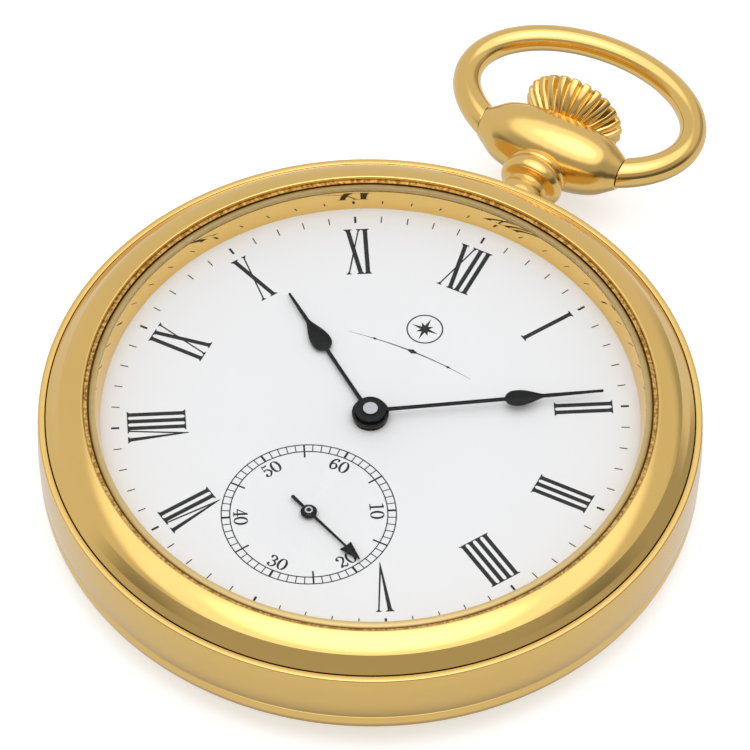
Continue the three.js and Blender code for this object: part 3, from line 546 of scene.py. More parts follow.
def back_cover():
    """A shallow dish whose rim closes up to the band."""
    outside = through([
        (BACK_FLAT_R, 0), (16, 0.35), (20, 1.1), (22.6, 1.85), (23.7, 2.25), (24.14, 2.6), (24.27, 3.05),
        (24.25, 3.45), (24.2, BACK_SEAM_Z - EDGE),
    ], 8)
    rim_z = BACK_SEAM_Z - GAP
    rim_r = SPIGOT_R + EDGE
    inside = rounded([
        (24.16, rim_z), (rim_r, rim_z), (rim_r, 2.95), (20.6, 2.75), (19.2, 1.9), (15, 1.15),
        (BACK_FLAT_R, BACK_T),
    ], EDGE, 2, closed=False)
    return lathe("back_cover_shell", [(0, 0), (6, 0), *outside, *inside, (0, BACK_T)])


def bezel():
    """A steep foot in two facets under a dome that is highest at its lip."""
    dome = through([
        (22.8, 9.37), (22.52, 9.553), (22.22, 9.711), (21.94, 9.833), (21.66, 9.932), (21.4, 10.005),
        (21.2, BEZEL_TOP_Z - 0.05),
    ], 5)
    foot_z = FRONT_SEAM_Z + GAP
    foot = rounded([
        (FRONT_SEAM_R, foot_z + GAP), (23.38, 8.68), (22.8, 9.37), dome[1],
    ], 0.06, 2, closed=False)
    lip = [(21.15, BEZEL_TOP_Z - 0.042), (21.09, BEZEL_TOP_Z - 0.05), (21.05, BEZEL_TOP_Z - 0.08),
           (BEZEL_BORE_R, BEZEL_TOP_Z - 0.13)]
    spigot_r = SPIGOT_R - EDGE
    inside = rounded([
        lip[-1], (BEZEL_BORE_R, BEZEL_INSIDE_Z), (spigot_r, BEZEL_INSIDE_Z), (spigot_r, foot_z),
        (FRONT_SEAM_R - EDGE, foot_z), foot[0],
    ], EDGE, 2, closed=False)
    return lathe("bezel_shell", [*foot[:-1], *dome[1:], *lip, *inside[1:-1]])


def crystal():
    """The clear dome, whose edge is hidden in the bevelled ring round it."""
    start_r = BEVEL_R + GAP
    hidden_r = BEVEL_R + 0.2
    hidden = [(start_r, CRYSTAL_Z), (hidden_r, CRYSTAL_Z + 0.06), (hidden_r, BEVEL_TOP_Z - 0.14)]
    top = through([(start_r, BEVEL_TOP_Z - 0.01), (15, 10.36), (8, 10.6), (0, CRYSTAL_TOP_Z)], 8)
    return lathe("crystal_dome", [(0, CRYSTAL_Z), *hidden, *top])


def crystal_bevel():
    """The bevelled edge of the crystal. Its colour is painted refraction of the gold seat behind it."""
    edge_r = CRYSTAL_R - 0.03
    bevel = through([
        (BEVEL_R, BEVEL_TOP_Z), (20.3, BEVEL_TOP_Z - 0.015), (20.45, BEVEL_TOP_Z - 0.05),
        (20.58, BEVEL_TOP_Z - 0.12), (edge_r, BEVEL_TOP_Z - 0.24),
    ])
    return lathe("crystal_bevel", [(BEVEL_R, CRYSTAL_Z), *bevel, (edge_r, CRYSTAL_Z)])


def crystal_seat():
    """A thin foot under the crystal's edge and a wall round it."""
    foot_z, top_z = low("crystal_gasket").z, high("crystal_gasket").z
    bore = CRYSTAL_R + GAP
    under = CRYSTAL_Z - GAP
    outline = [(SEAT_FOOT_R, foot_z), (GASKET_R, foot_z), (GASKET_R, top_z), (bore, top_z), (bore, under),
               (SEAT_FOOT_R, under)]
    return lathe("crystal_seat", rounded(outline, 0.03, 3))


def dial_flange():
    """The sloping gold ring between the dial and the crystal."""
    outline = [(FLANGE_R - FLANGE_T, DIAL_Z), (FLANGE_R, DIAL_Z), (FLANGE_R, FLANGE_TOP_Z),
               (SEAT_FOOT_R, FLANGE_TOP_Z)]
    return lathe("dial_flange_ring", rounded(outline, 0.02, 3))


piece(case_band(), BRUSHED, "case", "case_band", slot="gold")
piece(back_cover(), POLISHED, "case", "back_cover", slot="gold")
piece(bezel(), POLISHED, "case", "bezel", slot="gold")
piece(crystal(), GLASS, "case", "crystal", slot="crystal_glass")
# The bevel's gold is painted refraction of the seat, not gilding.
piece(crystal_bevel(), GLASS_EDGE_PAINTED_REFRACTION, "case", slot="crystal_glass")
piece(crystal_seat(), AMBER_WITH_PAINTED_REFRACTION, "case", "crystal_gasket", slot="gasket_amber")
piece(dial_flange(), MIRROR, "case", "dial_flange", slot="gold")

# ---- Pendant, bow and crown --------------------------------------------------------------------

STEM_BORE_R = 0.75
PEG_R = 0.6
PEG_HALF = 0.85
PEG_HOLE_R = 0.65
PEG_HOLE_HALF = 1.3
HEAD_BORE_R = 1.1  # at the head's two ends
# Half of the pendant's head along its axis: (radius, distance from the head's end).
HEAD_PROFILE = [(1.2, 0), (1.62, 0.6), (2.19, 1.5), (2.57, 2.7), (2.79, 4.2), (2.85, HEAD_HALF)]
# The neck's rings along the stem: (radius, y).
NECK_R = 1.6
LOWER_RING = [(NECK_R, 24.3), (1.82, 24.36), (1.95, 24.6), (1.98, 25.0), (1.93, 25.4), (1.78, 25.62),
              (1.66, 25.7), (1.62, 25.95)]
DOUBLE_COLLAR = [(1.66, 26.25), (1.88, 26.4), (2.24, 26.6), (2.43, 26.95), (2.44, 27.35), (2.3, 27.65),
                 (2.14, 27.76), (2.24, 27.86), (2.3, 28.06), (2.2, 28.26), (1.9, 28.4)]


def cross_bars(radius, half):
    """A short round bar along X at each end of the pendant's head."""
    return [lathe("peg", cylinder(radius, -half, half), 32,
                  Matrix.Translation((end * HEAD_HALF, HEAD_Y, STEM_Z)) @ ABOUT_X) for end in (-1, 1)]


def pendant():
    """The neck with its rings and the barrel-shaped head, bored for the stem and the bow's pegs."""
    half = through([(r, x - HEAD_HALF) for r, x in HEAD_PROFILE], 8)
    barrel = [*half[:-1], *[(r, -x) for r, x in reversed(half)]]
    outline = [(0, -HEAD_HALF), (HEAD_BORE_R, -HEAD_HALF), *barrel, (HEAD_BORE_R, HEAD_HALF), (0, HEAD_HALF)]
    head = lathe("pendant_body", outline, 128, Matrix.Translation((0, HEAD_Y, STEM_Z)) @ ABOUT_X)
    rings = [*through(LOWER_RING, 5), *through(DOUBLE_COLLAR, 5)]
    neck = lathe("neck", [(0, 21), (NECK_R, 21), *rings, (1.8, 30), (0, 30)], 96, ABOUT_Y)
    combined(head, "UNION", neck)
    seat = lathe("seat", cylinder(6, CROWN_SEAT_Y, 36), 32, ABOUT_Y)
    stem_bore = [(0, 20), (STEM_BORE_R, 20), (STEM_BORE_R, 31.4), (1.2, 31.4), (1.2, 34), (0, 34)]
    bore = lathe("bore", stem_bore, 48, ABOUT_Y)
    return combined(head, "DIFFERENCE", seat, bore, *cross_bars(PEG_HOLE_R, PEG_HOLE_HALF))


BOW_CENTRE_Y = 35.5
BOW_HALF_WIDTH = 9.06
BOW_WIRE_R = 1.0
BOW_END_R = 1.16
BOW_FACE_X = 5.76  # the flat ends of the bow
BOW_HALF_HEIGHT = BOW_TOP_Y - BOW_CENTRE_Y - BOW_WIRE_R
BOW_STEPS = 200
BOW_SIDES = 40


def bow():
    """An oval of round wire, thicker towards its ends, which are cut flat beside the pendant's head."""
    first = math.asin((HEAD_Y - 0.3 - BOW_CENTRE_Y) / BOW_HALF_HEIGHT)
    bm = bmesh.new()
    rings = []
    for i in range(BOW_STEPS + 1):
        angle = first + (math.pi - 2 * first) * i / BOW_STEPS
        x, y = math.cos(angle), math.sin(angle)
        centre = Vector((BOW_HALF_WIDTH * x, BOW_CENTRE_Y + BOW_HALF_HEIGHT * y, STEM_Z))
        outward = Vector((BOW_HALF_HEIGHT * x, BOW_HALF_WIDTH * y, 0)).normalized()
        thickening = abs(2 * i / BOW_STEPS - 1) ** 3
        radius = BOW_WIRE_R + (BOW_END_R - BOW_WIRE_R) * thickening
        ring = []
        for k in range(BOW_SIDES):
            turn = math.tau * k / BOW_SIDES
            around = math.cos(turn) * outward + math.sin(turn) * UP
            ring.append(bm.verts.new(centre + radius * around))
        rings.append(ring)
    skin(bm, rings)
    bm.faces.new(rings[0])
    bm.faces.new(reversed(rings[-1]))
    wire = mesh_object("bow_wire", bm)
    space = plate("space", [bar(-BOW_FACE_X, BOW_FACE_X, HEAD_Y - 4, HEAD_Y + 2.8)], STEM_Z - 4, STEM_Z + 4)
    combined(wire, "DIFFERENCE", space)
    softened(wire, EDGE)
    return combined(wire, "UNION", *cross_bars(PEG_R, PEG_HALF))


CROWN_TEETH = 24
CROWN_BORE_R = 0.5
CROWN_BORE_DEPTH = 2.05
# Along the stem from the crown's underside: (distance, radius on a tooth, radius in a flute).
CROWN_PROFILE = [
    (0, 0, 0), (0, 1.85, 1.8), (0.12, 2.1, 1.95), (0.75, 2.85, 2.5), (1.45, 3.56, 3.06), (1.95, 3.83, 3.27),
    (2.22, 3.95, 3.36), (2.45, 3.78, 3.3), (2.66, 3.42, 3.16), (2.9, 2.85, 2.8), (3.05, 2.2, 2.2),
    (3.15, 0, 0),
]
# Across one tooth: (share of the pitch, how far down its flute).
TOOTH = [(-0.5, 1), (-0.44, 1), (-0.26, 0), (0, -0.05), (0.26, 0), (0.44, 1)]


def crown():
    """A fluted onion crown, bored for the stem."""
    bm = bmesh.new()
    rings = []
    for distance, tooth_r, flute_r in CROWN_PROFILE:
        ring = []
        for i in range(CROWN_TEETH):
            for share, depth in TOOTH:
                angle = math.tau * (i + share) / CROWN_TEETH
                radius = tooth_r + (flute_r - tooth_r) * depth
                place = (radius * math.cos(angle), radius * math.sin(angle), CROWN_Y + distance)
                ring.append(bm.verts.new(place))
        rings.append(ring)
    skin(bm, rings)
    body = mesh_object("crown_body", bm, ABOUT_Y)
    softened(body, 0.04, 2, 20)
    bore = lathe("bore", cylinder(CROWN_BORE_R, CROWN_Y - 1, CROWN_Y + CROWN_BORE_DEPTH), 32, ABOUT_Y)
    return combined(body, "DIFFERENCE", bore)


piece(pendant(), SATIN, "case", "pendant", slot="gold")
piece(bow(), POLISHED, "bow", "bow", slot="gold")
piece(crown(), CUT_GOLD, "crown", "crown", slot="gold")

# ---- Dial and its printing ---------------------------------------------------------------------

DIAL_T = 0.4
CENTRE_HOLE_R = 1.25
SECONDS_HOLE_R = 0.4
SECONDS_CENTRE = Vector((0, SECONDS_Y))
INK_Z = (DIAL_Z - 0.02, DIAL_Z + 0.012)
TICK_R = (18.4, 19.0)
TICK_HALF = 0.04
FIFTH_TICK_HALF = 0.085


def dial():
    """The enamelled disc, with holes for the hands' pipes."""
    holes = [circle(CENTRE_HOLE_R), circle(SECONDS_HOLE_R, SECONDS_CENTRE, 32)]
    disc = plate("dial_plate", [circle(DIAL_R, count=RING_SEGMENTS)], DIAL_Z - DIAL_T, DIAL_Z, holes)
    return softened(disc, 0.03)


def bar_between(start, end, half):
    side = Vector((-(end - start).y, (end - start).x)).normalized() * half
    return [start - side, end - side, end + side, start + side]


def ring_of_bars(inner, outer, centre, count=180):
    """A thin ring as a loop of four-sided pieces, for plate to join."""
    near, far = circle(inner, centre, count), circle(outer, centre, count)
    return [[near[i - 1], far[i - 1], far[i], near[i]] for i in range(count)]


def minute_track():
    """The sixty ticks round the dial, every fifth one thick."""
    bars = []
    for minute in range(60):
        half = TICK_HALF if minute % 5 else FIFTH_TICK_HALF
        bars.append(bar_between(polar(TICK_R[0], 6 * minute), polar(TICK_R[1], 6 * minute), half))
    return plate("minute_track", bars, *INK_Z)


# A numeral stands on its inner circle. Its letters start at x = 0 and are NUMERAL_H high.
NUMERAL_R = (13.5, 17.8)
NUMERAL_H = NUMERAL_R[1] - NUMERAL_R[0]
STEM_HALF = 0.165  # half the width of a thick stroke
HAIR_HALF = 0.055  # and of a thin one
SERIF_T = 0.07
SERIF_REACH = 0.14  # beyond the stroke
BRACKET = 0.14


def serif(x, y, inward, half, reach):
    """A bracketed serif at the end of a stroke, whose inward direction is 1 for up and -1 for down."""
    bracket_y = y + inward * (SERIF_T + BRACKET)
    bar_y = y + inward * SERIF_T
    curve = through([(x - reach, bar_y), (x - half - 0.05, bar_y + inward * 0.03), (x - half, bracket_y)], 4)
    mirrored = [Vector((2 * x - p.x, p.y)) for p in reversed(curve)]
    return [Vector((x - reach, y)), *curve, *mirrored, Vector((x + reach, y))]


def stroke(foot_x, head_x, half):
    """A straight stroke from a letter's foot to its head, with a serif at each end."""
    reach = half + SERIF_REACH
    shaft = [(foot_x - half, 0), (foot_x + half, 0), (head_x + half, NUMERAL_H), (head_x - half, NUMERAL_H)]
    return [shaft, serif(foot_x, 0, 1, half, reach), serif(head_x, NUMERAL_H, -1, half, reach)]


def letter_i():
    return stroke(0.31, 0.31, STEM_HALF)


def letter_v():
    """Two strokes that meet a little past the foot, the first one thick."""
    thick_x, thin_x, apex_x, apex_y = 0.30, 1.13, 0.79, -0.2
    thick = [(thick_x - STEM_HALF, NUMERAL_H), (thick_x + STEM_HALF, NUMERAL_H), (apex_x + 0.04, 0.1),
             (apex_x + 0.02, apex_y), (apex_x - 0.03, apex_y + 0.05)]
    thin = [(thin_x - HAIR_HALF, NUMERAL_H), (thin_x + HAIR_HALF, NUMERAL_H), (apex_x + 0.02, apex_y),
            (apex_x - 0.08, 0.2)]
    heads = [serif(thick_x, NUMERAL_H, -1, STEM_HALF, 0.30), serif(thin_x, NUMERAL_H, -1, HAIR_HALF, 0.20)]
    return [thick, thin, *heads]


def letter_x():
    return [*stroke(1.07, 0.30, STEM_HALF), *stroke(0.17, 1.12, HAIR_HALF)]


# Each letter's strokes, and how far the next letter stands from it.
LETTERS = {"I": (letter_i(), 0.62), "V": (letter_v(), 1.08), "X": (letter_x(), 1.28)}
NUMERALS = ["XII", "I", "II", "III", "IIII", "V", None, "VII", "VIII", "IX", "X", "XI"]


def standing(degrees):
    """The directions across and up for something printed with its head turned that far clockwise from 12."""
    a = math.radians(degrees)
    return Vector((math.cos(a), -math.sin(a))), Vector((math.sin(a), math.cos(a)))


def numeral(text, degrees):
    """The numeral's strokes, standing on its inner circle with its head outwards."""
    strokes, x = [], 0
    for letter in text:
        shape, width = LETTERS[letter]
        strokes += [[Vector(p) + Vector((x, 0)) for p in polygon] for polygon in shape]
        x += width
    across, up = standing(degrees)
    all_x = [p.x for polygon in strokes for p in polygon]
    middle = (min(all_x) + max(all_x)) / 2
    foot = NUMERAL_R[0]
    return [[across * (p.x - middle) + up * (p.y + foot) for p in polygon] for polygon in strokes]


def hour_numerals():
    strokes = [s for hour, text in enumerate(NUMERALS) if text for s in numeral(text, 30 * hour)]
    return plate("hour_numerals", strokes, *INK_Z)


SECONDS_TRACK_R = (5.74, 6.36)
SECONDS_LONG_R = 5.2  # where the ticks at 5, 15, 25 ... start
LINE_HALF = 0.042
SECOND_HALF = 0.036
FIFTH_SECOND_HALF = 0.065
TENTH_SECOND_HALF = 0.085


def seconds_track():
    """Two thin circles joined by the ticks of the seconds."""
    inner, outer = SECONDS_TRACK_R
    bars = []
    for radius in SECONDS_TRACK_R:
        bars += ring_of_bars(radius - LINE_HALF, radius + LINE_HALF, SECONDS_CENTRE)
    for second in range(60):
        start = SECONDS_LONG_R if second % 10 == 5 else inner
        half = {0: TENTH_SECOND_HALF, 5: FIFTH_SECOND_HALF}.get(second % 10, SECOND_HALF)
        ends = [SECONDS_CENTRE + polar(radius, 6 * second) for radius in (start, outer)]
        bars.append(bar_between(*ends, half))
    return plate("seconds_track", bars, *INK_Z)


def pen(path, thick=0.16, thin=0.06):
    """A stroke along a path, wide where it runs up and down and fine where it runs across."""
    edges = []
    for i, point in enumerate(path):
        along = (path[min(i + 1, len(path) - 1)] - path[max(i - 1, 0)]).normalized()
        half = (thin + (thick - thin) * abs(along.y) ** 1.5) / 2
        side = Vector((-along.y, along.x)) * half
        edges.append((point - side, point + side))
    return [[a[0], b[0], b[1], a[1]] for a, b in zip(edges, edges[1:])]


def curl(*points):
    return pen(through(points))


def ball(x, y, radius=0.085):
    """The round end of a digit's stroke."""
    return circle(radius, (x, y), 16)


def digit_0():
    turns = [math.tau * i / 48 for i in range(49)]
    return pen([Vector((0.34 + 0.27 * math.cos(a), 0.5 + 0.46 * math.sin(a))) for a in turns], 0.17, 0.05)


def digit_1():
    flag = [(0.08, 0.86), (0.27, 0.9), (0.43, 1.0), (0.27, 0.98), (0.08, 0.93)]
    return [bar(0.27, 0.43, 0, 1), bar(0.08, 0.62, 0, 0.07), flag]


def digit_2():
    neck = curl((0.08, 0.74), (0.16, 0.92), (0.36, 0.97), (0.55, 0.76), (0.42, 0.47), (0.2, 0.26),
                (0.07, 0.05))
    foot = pen(through([(0.07, 0.08), (0.24, 0.14), (0.44, 0.05), (0.58, 0.1), (0.6, 0.24)]), 0.07, 0.13)
    return [ball(0.15, 0.76), *neck, *foot]


def digit_3():
    upper = curl((0.09, 0.82), (0.2, 0.95), (0.36, 0.95), (0.52, 0.76), (0.4, 0.57), (0.24, 0.53))
    lower = curl((0.24, 0.53), (0.46, 0.48), (0.58, 0.27), (0.38, 0.03), (0.18, 0.05), (0.08, 0.2))
    return [ball(0.15, 0.8), *upper, *lower, ball(0.14, 0.2)]


def digit_4():
    slant = [(0.02, 0.26), (0.02, 0.33), (0.45, 1.0), (0.5, 1.0), (0.47, 0.9), (0.09, 0.29)]
    return [bar(0.38, 0.54, 0, 1), bar(0.02, 0.66, 0.26, 0.33), bar(0.26, 0.66, 0, 0.06), slant]


def digit_5():
    back = [(0.12, 0.98), (0.17, 0.98), (0.15, 0.55), (0.11, 0.52)]
    flag = [(0.12, 1), (0.36, 0.95), (0.55, 1.0), (0.5, 0.86), (0.3, 0.84), (0.13, 0.88)]
    bowl = curl((0.11, 0.52), (0.32, 0.62), (0.57, 0.34), (0.36, 0.03), (0.16, 0.05), (0.08, 0.18))
    return [back, flag, *bowl, ball(0.15, 0.2)]


def digit_6():
    body = curl((0.56, 0.86), (0.4, 0.97), (0.16, 0.75), (0.1, 0.4), (0.2, 0.1), (0.35, 0.03), (0.56, 0.28),
                (0.38, 0.56), (0.14, 0.42))
    return [ball(0.5, 0.83, 0.08), *body]


# Each digit's strokes, in a box one unit high.
DIGITS = [digit_0(), digit_1(), digit_2(), digit_3(), digit_4(), digit_5(), digit_6()]
DIGIT_H = 1.05
DIGIT_PITCH = 0.74
DIGITS_R = 4.96


def seconds_number(number):
    """A number's strokes beside its tick. The lower three stand with their heads inwards."""
    degrees = 6 * number
    across, up = standing(degrees + 180 if 20 <= number <= 40 else degrees)
    middle = SECONDS_CENTRE + polar(DIGITS_R, degrees)
    text = str(number)
    strokes = []
    for i, digit in enumerate(text):
        shift = (i - len(text) / 2) * DIGIT_PITCH
        for polygon in DIGITS[int(digit)]:
            placed = (Vector(p) * DIGIT_H for p in polygon)
            strokes.append([middle + across * (p.x + shift) + up * (p.y - DIGIT_H / 2) for p in placed])
    return strokes


def seconds_numerals():
    """The numbers 10 to 60."""
    strokes = [s for number in range(10, 61, 10) for s in seconds_number(number)]
    return plate("seconds_numerals", strokes, *INK_Z)


STAR_CENTRE = Vector((-0.1, 9.2))
STAR_RING_R = (1.26, 1.36)
LONG_RAY, SHORT_RAY, NOTCH = 1.05, 0.66, 0.32
RULE_R = 30.0  # the rule's gentle arc
RULE_Y = 6.9
RULE_REACH = 5
RULE_HALF = 0.05  # half its width in the middle


def lozenge(centre, half_width, half_height):
    corners = ((half_width, 0), (0, half_height), (-half_width, 0), (0, -half_height))
    return [centre + Vector(corner) for corner in corners]


def ornament():
    """A plain eight-pointed star in a ring, over a fine tapered rule with three lozenges."""
    star = []
    for i in range(16):
        reach = NOTCH if i % 2 else (SHORT_RAY if i % 4 else LONG_RAY)
        star.append(STAR_CENTRE + polar(reach, 22.5 * i))
    span = range(-RULE_REACH, RULE_REACH + 1)
    rule = [Vector((x, RULE_Y + math.sqrt(RULE_R ** 2 - x * x) - RULE_R)) for x in span]
    rise = [Vector((0, RULE_HALF * (1 - abs(p.x) / (RULE_REACH + 0.5)))) for p in rule]
    strips = [[p - h, q - k, q + k, p + h] for p, q, h, k in zip(rule, rule[1:], rise, rise[1:])]
    lozenges = [lozenge(rule[5], 0.5, 0.2), lozenge(rule[2], 0.22, 0.1), lozenge(rule[8], 0.22, 0.1)]
    ring = ring_of_bars(*STAR_RING_R, STAR_CENTRE)
    return plate("dial_ornament", [star, *ring, *strips, *lozenges], *INK_Z)


piece(dial(), ENAMEL, "case", "dial", slot="dial_white")
for printed in (minute_track(), hour_numerals(), seconds_track(), seconds_numerals(), ornament()):
    piece(printed, INK, "case", slot="hands_black")

# ---- Hands -------------------------------------------------------------------------------------

HAND_T = 0.14
HAND_EDGE = 0.045
SECONDS_HAND_T = 0.12
SECONDS_BORE_R = 0.22
SECONDS_BOSS_R = 0.6
LAP = 0.01  # how far a boss stands inside its hand's underside


def hand_angle(node, centre=(0, 0)):
    """How far clockwise from 12 a hand of the frame points: its farthest corner from its axis."""
    corners = [v.co / MM for v in frame["nodes"][node].data.vertices]
    tip = max(corners, key=lambda p: (p.x - centre[0]) ** 2 + (p.y - centre[1]) ** 2)
    return math.degrees(math.atan2(tip.x - centre[0], tip.y - centre[1]))


def turned_to(made, degrees, centre=(0, 0)):
    """Turns an object clockwise on the dial about Z, and moves it from the origin to centre."""
    move = Matrix.Translation(Vector((*centre, 0)) * MM)
    made.data.transform(move @ Matrix.Rotation(-math.radians(degrees), 4, "Z"))
    return made


def pear_outline(length, hub_r, stem, pear, pear_from, pear_widest, pear_to, tip):
    """A hand pointing along +Y: a round hub, a slim stem, a pear and a fine point."""
    reach = pear_widest - pear_from
    fall = pear_to - pear_widest
    # The pear's side: (share of its half width, share of the way along).
    rise = [(0.6, 0.15), (0.92, 0.5), (1.0, 1.0)]
    taper = [(0.94, 0.18), (0.76, 0.38), (0.48, 0.6), (0.22, 0.82)]
    side = [
        *through([(stem * 1.3, hub_r * 0.95), (stem, hub_r + 1.2), (stem, pear_from - 0.1)], 4),
        *through([(stem * 1.2, pear_from), *[(pear * w, pear_from + reach * s) for w, s in rise],
                  *[(pear * w, pear_widest + fall * s) for w, s in taper], (tip * 1.8, pear_to)]),
        Vector((tip, length - 0.03)), Vector((tip * 0.6, length)),
    ]
    return [circle(hub_r, count=96), [*side, *[Vector((-p.x, p.y)) for p in reversed(side)]]]


def pear_hand(node, outline, bore_r, boss_r):
    """A flat hand with softened edges, on a boss that is as high as the node."""
    z = low(node).z
    body = plate(node + "_plate", outline, z, z + HAND_T, [circle(bore_r)])
    softened(body, HAND_EDGE, 3)
    boss = lathe("boss", rounded(tube(bore_r, boss_r, z + LAP, high(node).z), 0.06, 4), 96)
    return turned_to(combined(body, "UNION", boss), hand_angle(node))


def hour_hand():
    outline = pear_outline(length=12.8, hub_r=1.34, stem=0.135, pear=0.75, pear_from=6.85, pear_widest=7.8,
                           pear_to=10.2, tip=0.08)
    return pear_hand("hour_hand", outline, 1.1, 1.36)


def minute_hand():
    outline = pear_outline(length=17.2, hub_r=1.1, stem=0.13, pear=0.68, pear_from=9.95, pear_widest=10.9,
                           pear_to=13.1, tip=0.075)
    return pear_hand("minute_hand", outline, 0.58, 1.14)


def seconds_hand():
    """An arrow with a short round-ended tail, on a stepped boss."""
    z = low("seconds_hand").z
    top = high("seconds_hand").z
    arrow = [(-0.1, 0.3), (-0.075, 4.14), (-0.52, 4.08), (-0.02, 5.68), (0.02, 5.68), (0.52, 4.08),
             (0.075, 4.14), (0.1, 0.3)]
    tail = rounded([(-0.1, -0.4), (-0.13, -1.9), (0.13, -1.9), (0.1, -0.4)], 0.11)
    bore = circle(SECONDS_BORE_R, count=32)
    body = plate("seconds_hand_plate", [arrow, tail, circle(SECONDS_BOSS_R)], z, z + SECONDS_HAND_T, [bore])
    softened(body, 0.03)
    boss = [(SECONDS_BORE_R, z + 0.02), (SECONDS_BOSS_R, z + 0.02), (0.58, z + 0.14), (0.4, top - 0.04),
            (0.34, top), (SECONDS_BORE_R, top)]
    combined(body, "UNION", lathe("boss", rounded(boss, 0.03, 3), 64))
    return turned_to(body, hand_angle("seconds_hand", SECONDS_CENTRE), SECONDS_CENTRE)


def seconds_pipe():
    """The bright end of the pipe on which the seconds hand sits."""
    top = high("seconds_hand").z + 0.02
    made = lathe("seconds_pipe_end", rounded(tube(0.17, 0.31, top - 0.1, top), 0.05, 3), 48)
    return turned_to(made, 0, SECONDS_CENTRE)


def seconds_pivot():
    """A black disc under that pipe's bore. It is painted shade for the dark of the hole, where the pivot's
    end would be.
    """
    top = high("seconds_hand").z - 0.04
    return turned_to(lathe("seconds_pivot", cylinder(0.19, top - 0.04, top), 32), 0, SECONDS_CENTRE)


piece(hour_hand(), GLOSS_BLACK, "hours", "hour_hand", slot="hands_black")
piece(minute_hand(), GLOSS_BLACK, "minutes", "minute_hand", slot="hands_black")
piece(seconds_hand(), GLOSS_BLACK, "seconds", "seconds_hand", slot="hands_black")
piece(seconds_pipe(), STEEL, "seconds", slot="steel")
# A black disc, painted as the shade inside the seconds pipe.
piece(seconds_pivot(), INK, "seconds", slot="hands_black")

# ---- The movement keeps its CAD shapes --------------------------------------------------------

FINISHES = {
    NICKEL: ["barrel_bridge", "train_bridge", "pallet_bridge", "balance_cock"],
    BRASS: ["main_plate", "movement_ring", "barrel_drum", "barrel_cover", "hour_wheel", "minute_wheel",
            "center_wheel", "third_wheel", "fourth_wheel", "balance_wheel"],
    BLUED: ["barrel_bridge_screw_1", "barrel_bridge_screw_2", "train_bridge_screw_1", "train_bridge_screw_2",
            "balance_cock_screw", "pallet_bridge_screw", "click_screw", "hairspring"],
    STEEL: ["case_screw_1", "case_screw_2", "crown_wheel_screw", "click_spring", "yoke_spring",
            "winding_pinion", "winding_stem", "sliding_pinion", "setting_lever", "yoke", "crown_wheel",
            "ratchet_wheel", "ratchet_screw", "barrel_arbor", "click", "cannon_pinion", "mainspring",
            "escape_wheel", "setting_wheel", "pallet_fork", "regulator"],
    RUBBER: ["stem_gasket"],
}
for finish, names in FINISHES.items():
    for name in names:
        for material_slot in frame["nodes"][name].material_slots:
            material_slot.material = finish

# ---- Floor, light and camera -------------------------------------------------------------------

FLOOR_HALF = 2.0  # metres
CAMERA_AZIMUTH = 25.98
CAMERA_ELEVATION = 51.68
CAMERA_ROLL = 0.69
CAMERA_DISTANCE = 0.6524  # metres
CAMERA_LENS = 426.03
CAMERA_AIM = Vector((-1.456, 3.681, DIAL_Z)) * MM

# How bright the room is: its walls, overhead and underfoot.
WALLS, FRONT_WALLS, LOW_RIGHT, DARK_BAND = 0.74, 0.46, 0.42, 0.13
UNDERFOOT, DEEP_UNDERFOOT = 0.76, 0.42
LAMP, LAMP_CORE = 1.36, 2.5
LAMP_TINT = (0.99, 1, 1.03, 1)


def floor():
    """A pale floor that glows a little, as a light table does. Polished metal mirrors the room instead."""
    bm = bmesh.new()
    bmesh.ops.create_grid(bm, x_segments=8, y_segments=8, size=FLOOR_HALF / MM)
    made = mesh_object("floor", bm)
    finish = Finish("pale_floor", Roughness=0.9, Emission_Color=WHITE, Emission_Strength=0.5)
    finish.colour(finish.noise(40.0, 2), (0.74, 0.74, 0.74), (0.76, 0.76, 0.76))
    made.data.materials.append(finish.material)
    made.visible_glossy = False


def toward(azimuth, elevation):
    """The direction towards a place in the room. Azimuth 0 is at the 6 o'clock side and 90 at the 3."""
    a, e = math.radians(azimuth), math.radians(elevation)
    return Vector((math.sin(a) * math.cos(e), -math.cos(a) * math.cos(e), math.sin(e)))


def within(degrees):
    """The cosine at the rim of a cone of that half angle, for step."""
    return math.cos(math.radians(degrees))


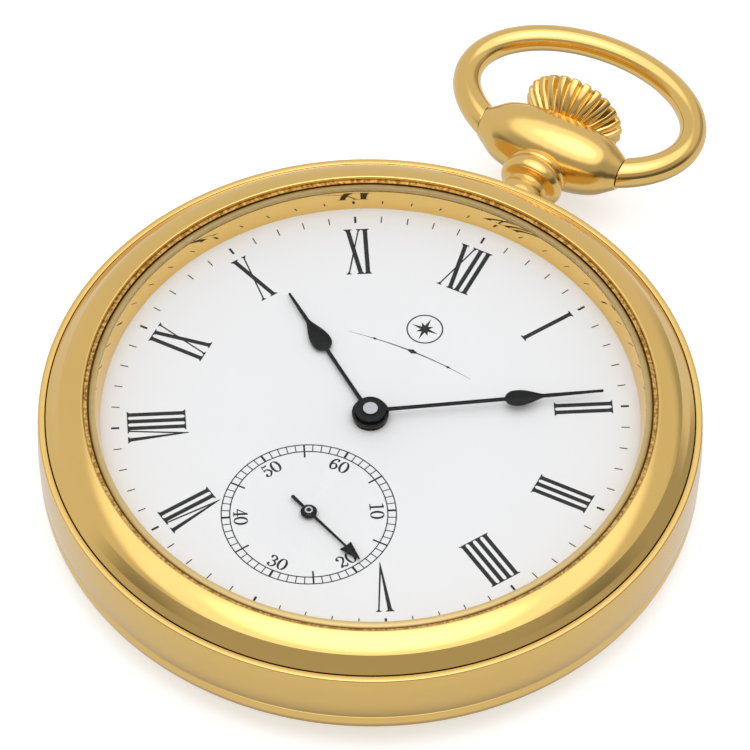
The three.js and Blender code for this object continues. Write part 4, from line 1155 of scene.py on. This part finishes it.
class Room(Graph):
    """The world's light, as levels blended by soft steps in one direction or another."""

    def __init__(self):
        bpy.context.scene.world = bpy.data.worlds.new("studio")
        super().__init__(bpy.context.scene.world)
        self.place = self.node("ShaderNodeTexCoord").outputs["Generated"]

    def step(self, direction, least, most):
        """0 to 1 as the cosine of the angle to the direction goes from least to most."""
        dot = self.node("ShaderNodeVectorMath", {0: self.place, 1: direction}, operation="DOT_PRODUCT")
        ramp = {"Value": dot.outputs["Value"], "From Min": least, "From Max": most}
        return self.node("ShaderNodeMapRange", ramp, interpolation_type="SMOOTHSTEP").outputs["Result"]

    def less(self, share):
        return self.math("SUBTRACT", 1.0, share)

    def both(self, one, two):
        return self.math("MULTIPLY", one, two)

    def between(self, factor, one, two):
        """one where the factor is 0 and two where it is 1."""
        return self.node("ShaderNodeMix", {0: factor, NUMBER_ONE: one, NUMBER_TWO: two}).outputs[0]


def studio():
    """A broad lamp overhead in a pale room that is dimmer in front and low on the right.

    Each step goes from the cosine where it starts to the one where it is complete.
    """
    room = Room()
    front = room.step(toward(CAMERA_AZIMUTH, 0), -0.1, 0.45)
    right = room.step(toward(CAMERA_AZIMUTH + 90, 0), 0.42, 0.70)
    low_right = room.both(right, room.less(room.step(UP, 0.25, 0.5)))
    below = room.step(-UP, -0.02, 0.12)
    far_below = room.step(-UP, 0.76, 1.0)
    horizon = room.both(room.step(UP, -0.12, -0.02), room.less(room.step(UP, 0.24, 0.40)))
    lamp = room.step(toward(CAMERA_AZIMUTH, 86), within(46), within(36))
    core = room.step(toward(CAMERA_AZIMUTH, 84), within(27), within(8))
    level = room.between(front, WALLS, FRONT_WALLS)
    level = room.between(low_right, level, LOW_RIGHT)
    level = room.between(below, level, room.between(far_below, UNDERFOOT, DEEP_UNDERFOOT))
    level = room.between(room.both(horizon, front), level, DARK_BAND)
    level = room.between(lamp, level, room.between(core, LAMP, LAMP_CORE))
    background = room.nodes["Background"]
    room.feed(room.blend(lamp, WHITE, LAMP_TINT), background.inputs["Color"])
    room.feed(level, background.inputs["Strength"])


def camera():
    """The photo's view: the watch seen from its lower right, from far off."""
    data = bpy.data.cameras.new("camera")
    data.lens = CAMERA_LENS
    data.clip_start, data.clip_end = 0.01, 20
    made = bpy.data.objects.new("camera", data)
    back = toward(CAMERA_AZIMUTH, CAMERA_ELEVATION)
    made.location = CAMERA_AIM + back * CAMERA_DISTANCE
    made.rotation_mode = "QUATERNION"
    made.rotation_quaternion = back.to_track_quat("Z", "Y") @ Quaternion((0, 0, 1), math.radians(CAMERA_ROLL))
    bpy.context.scene.collection.objects.link(made)
    bpy.context.scene.camera = made


floor()
studio()
camera()
bpy.context.scene.view_settings.view_transform = "Standard"
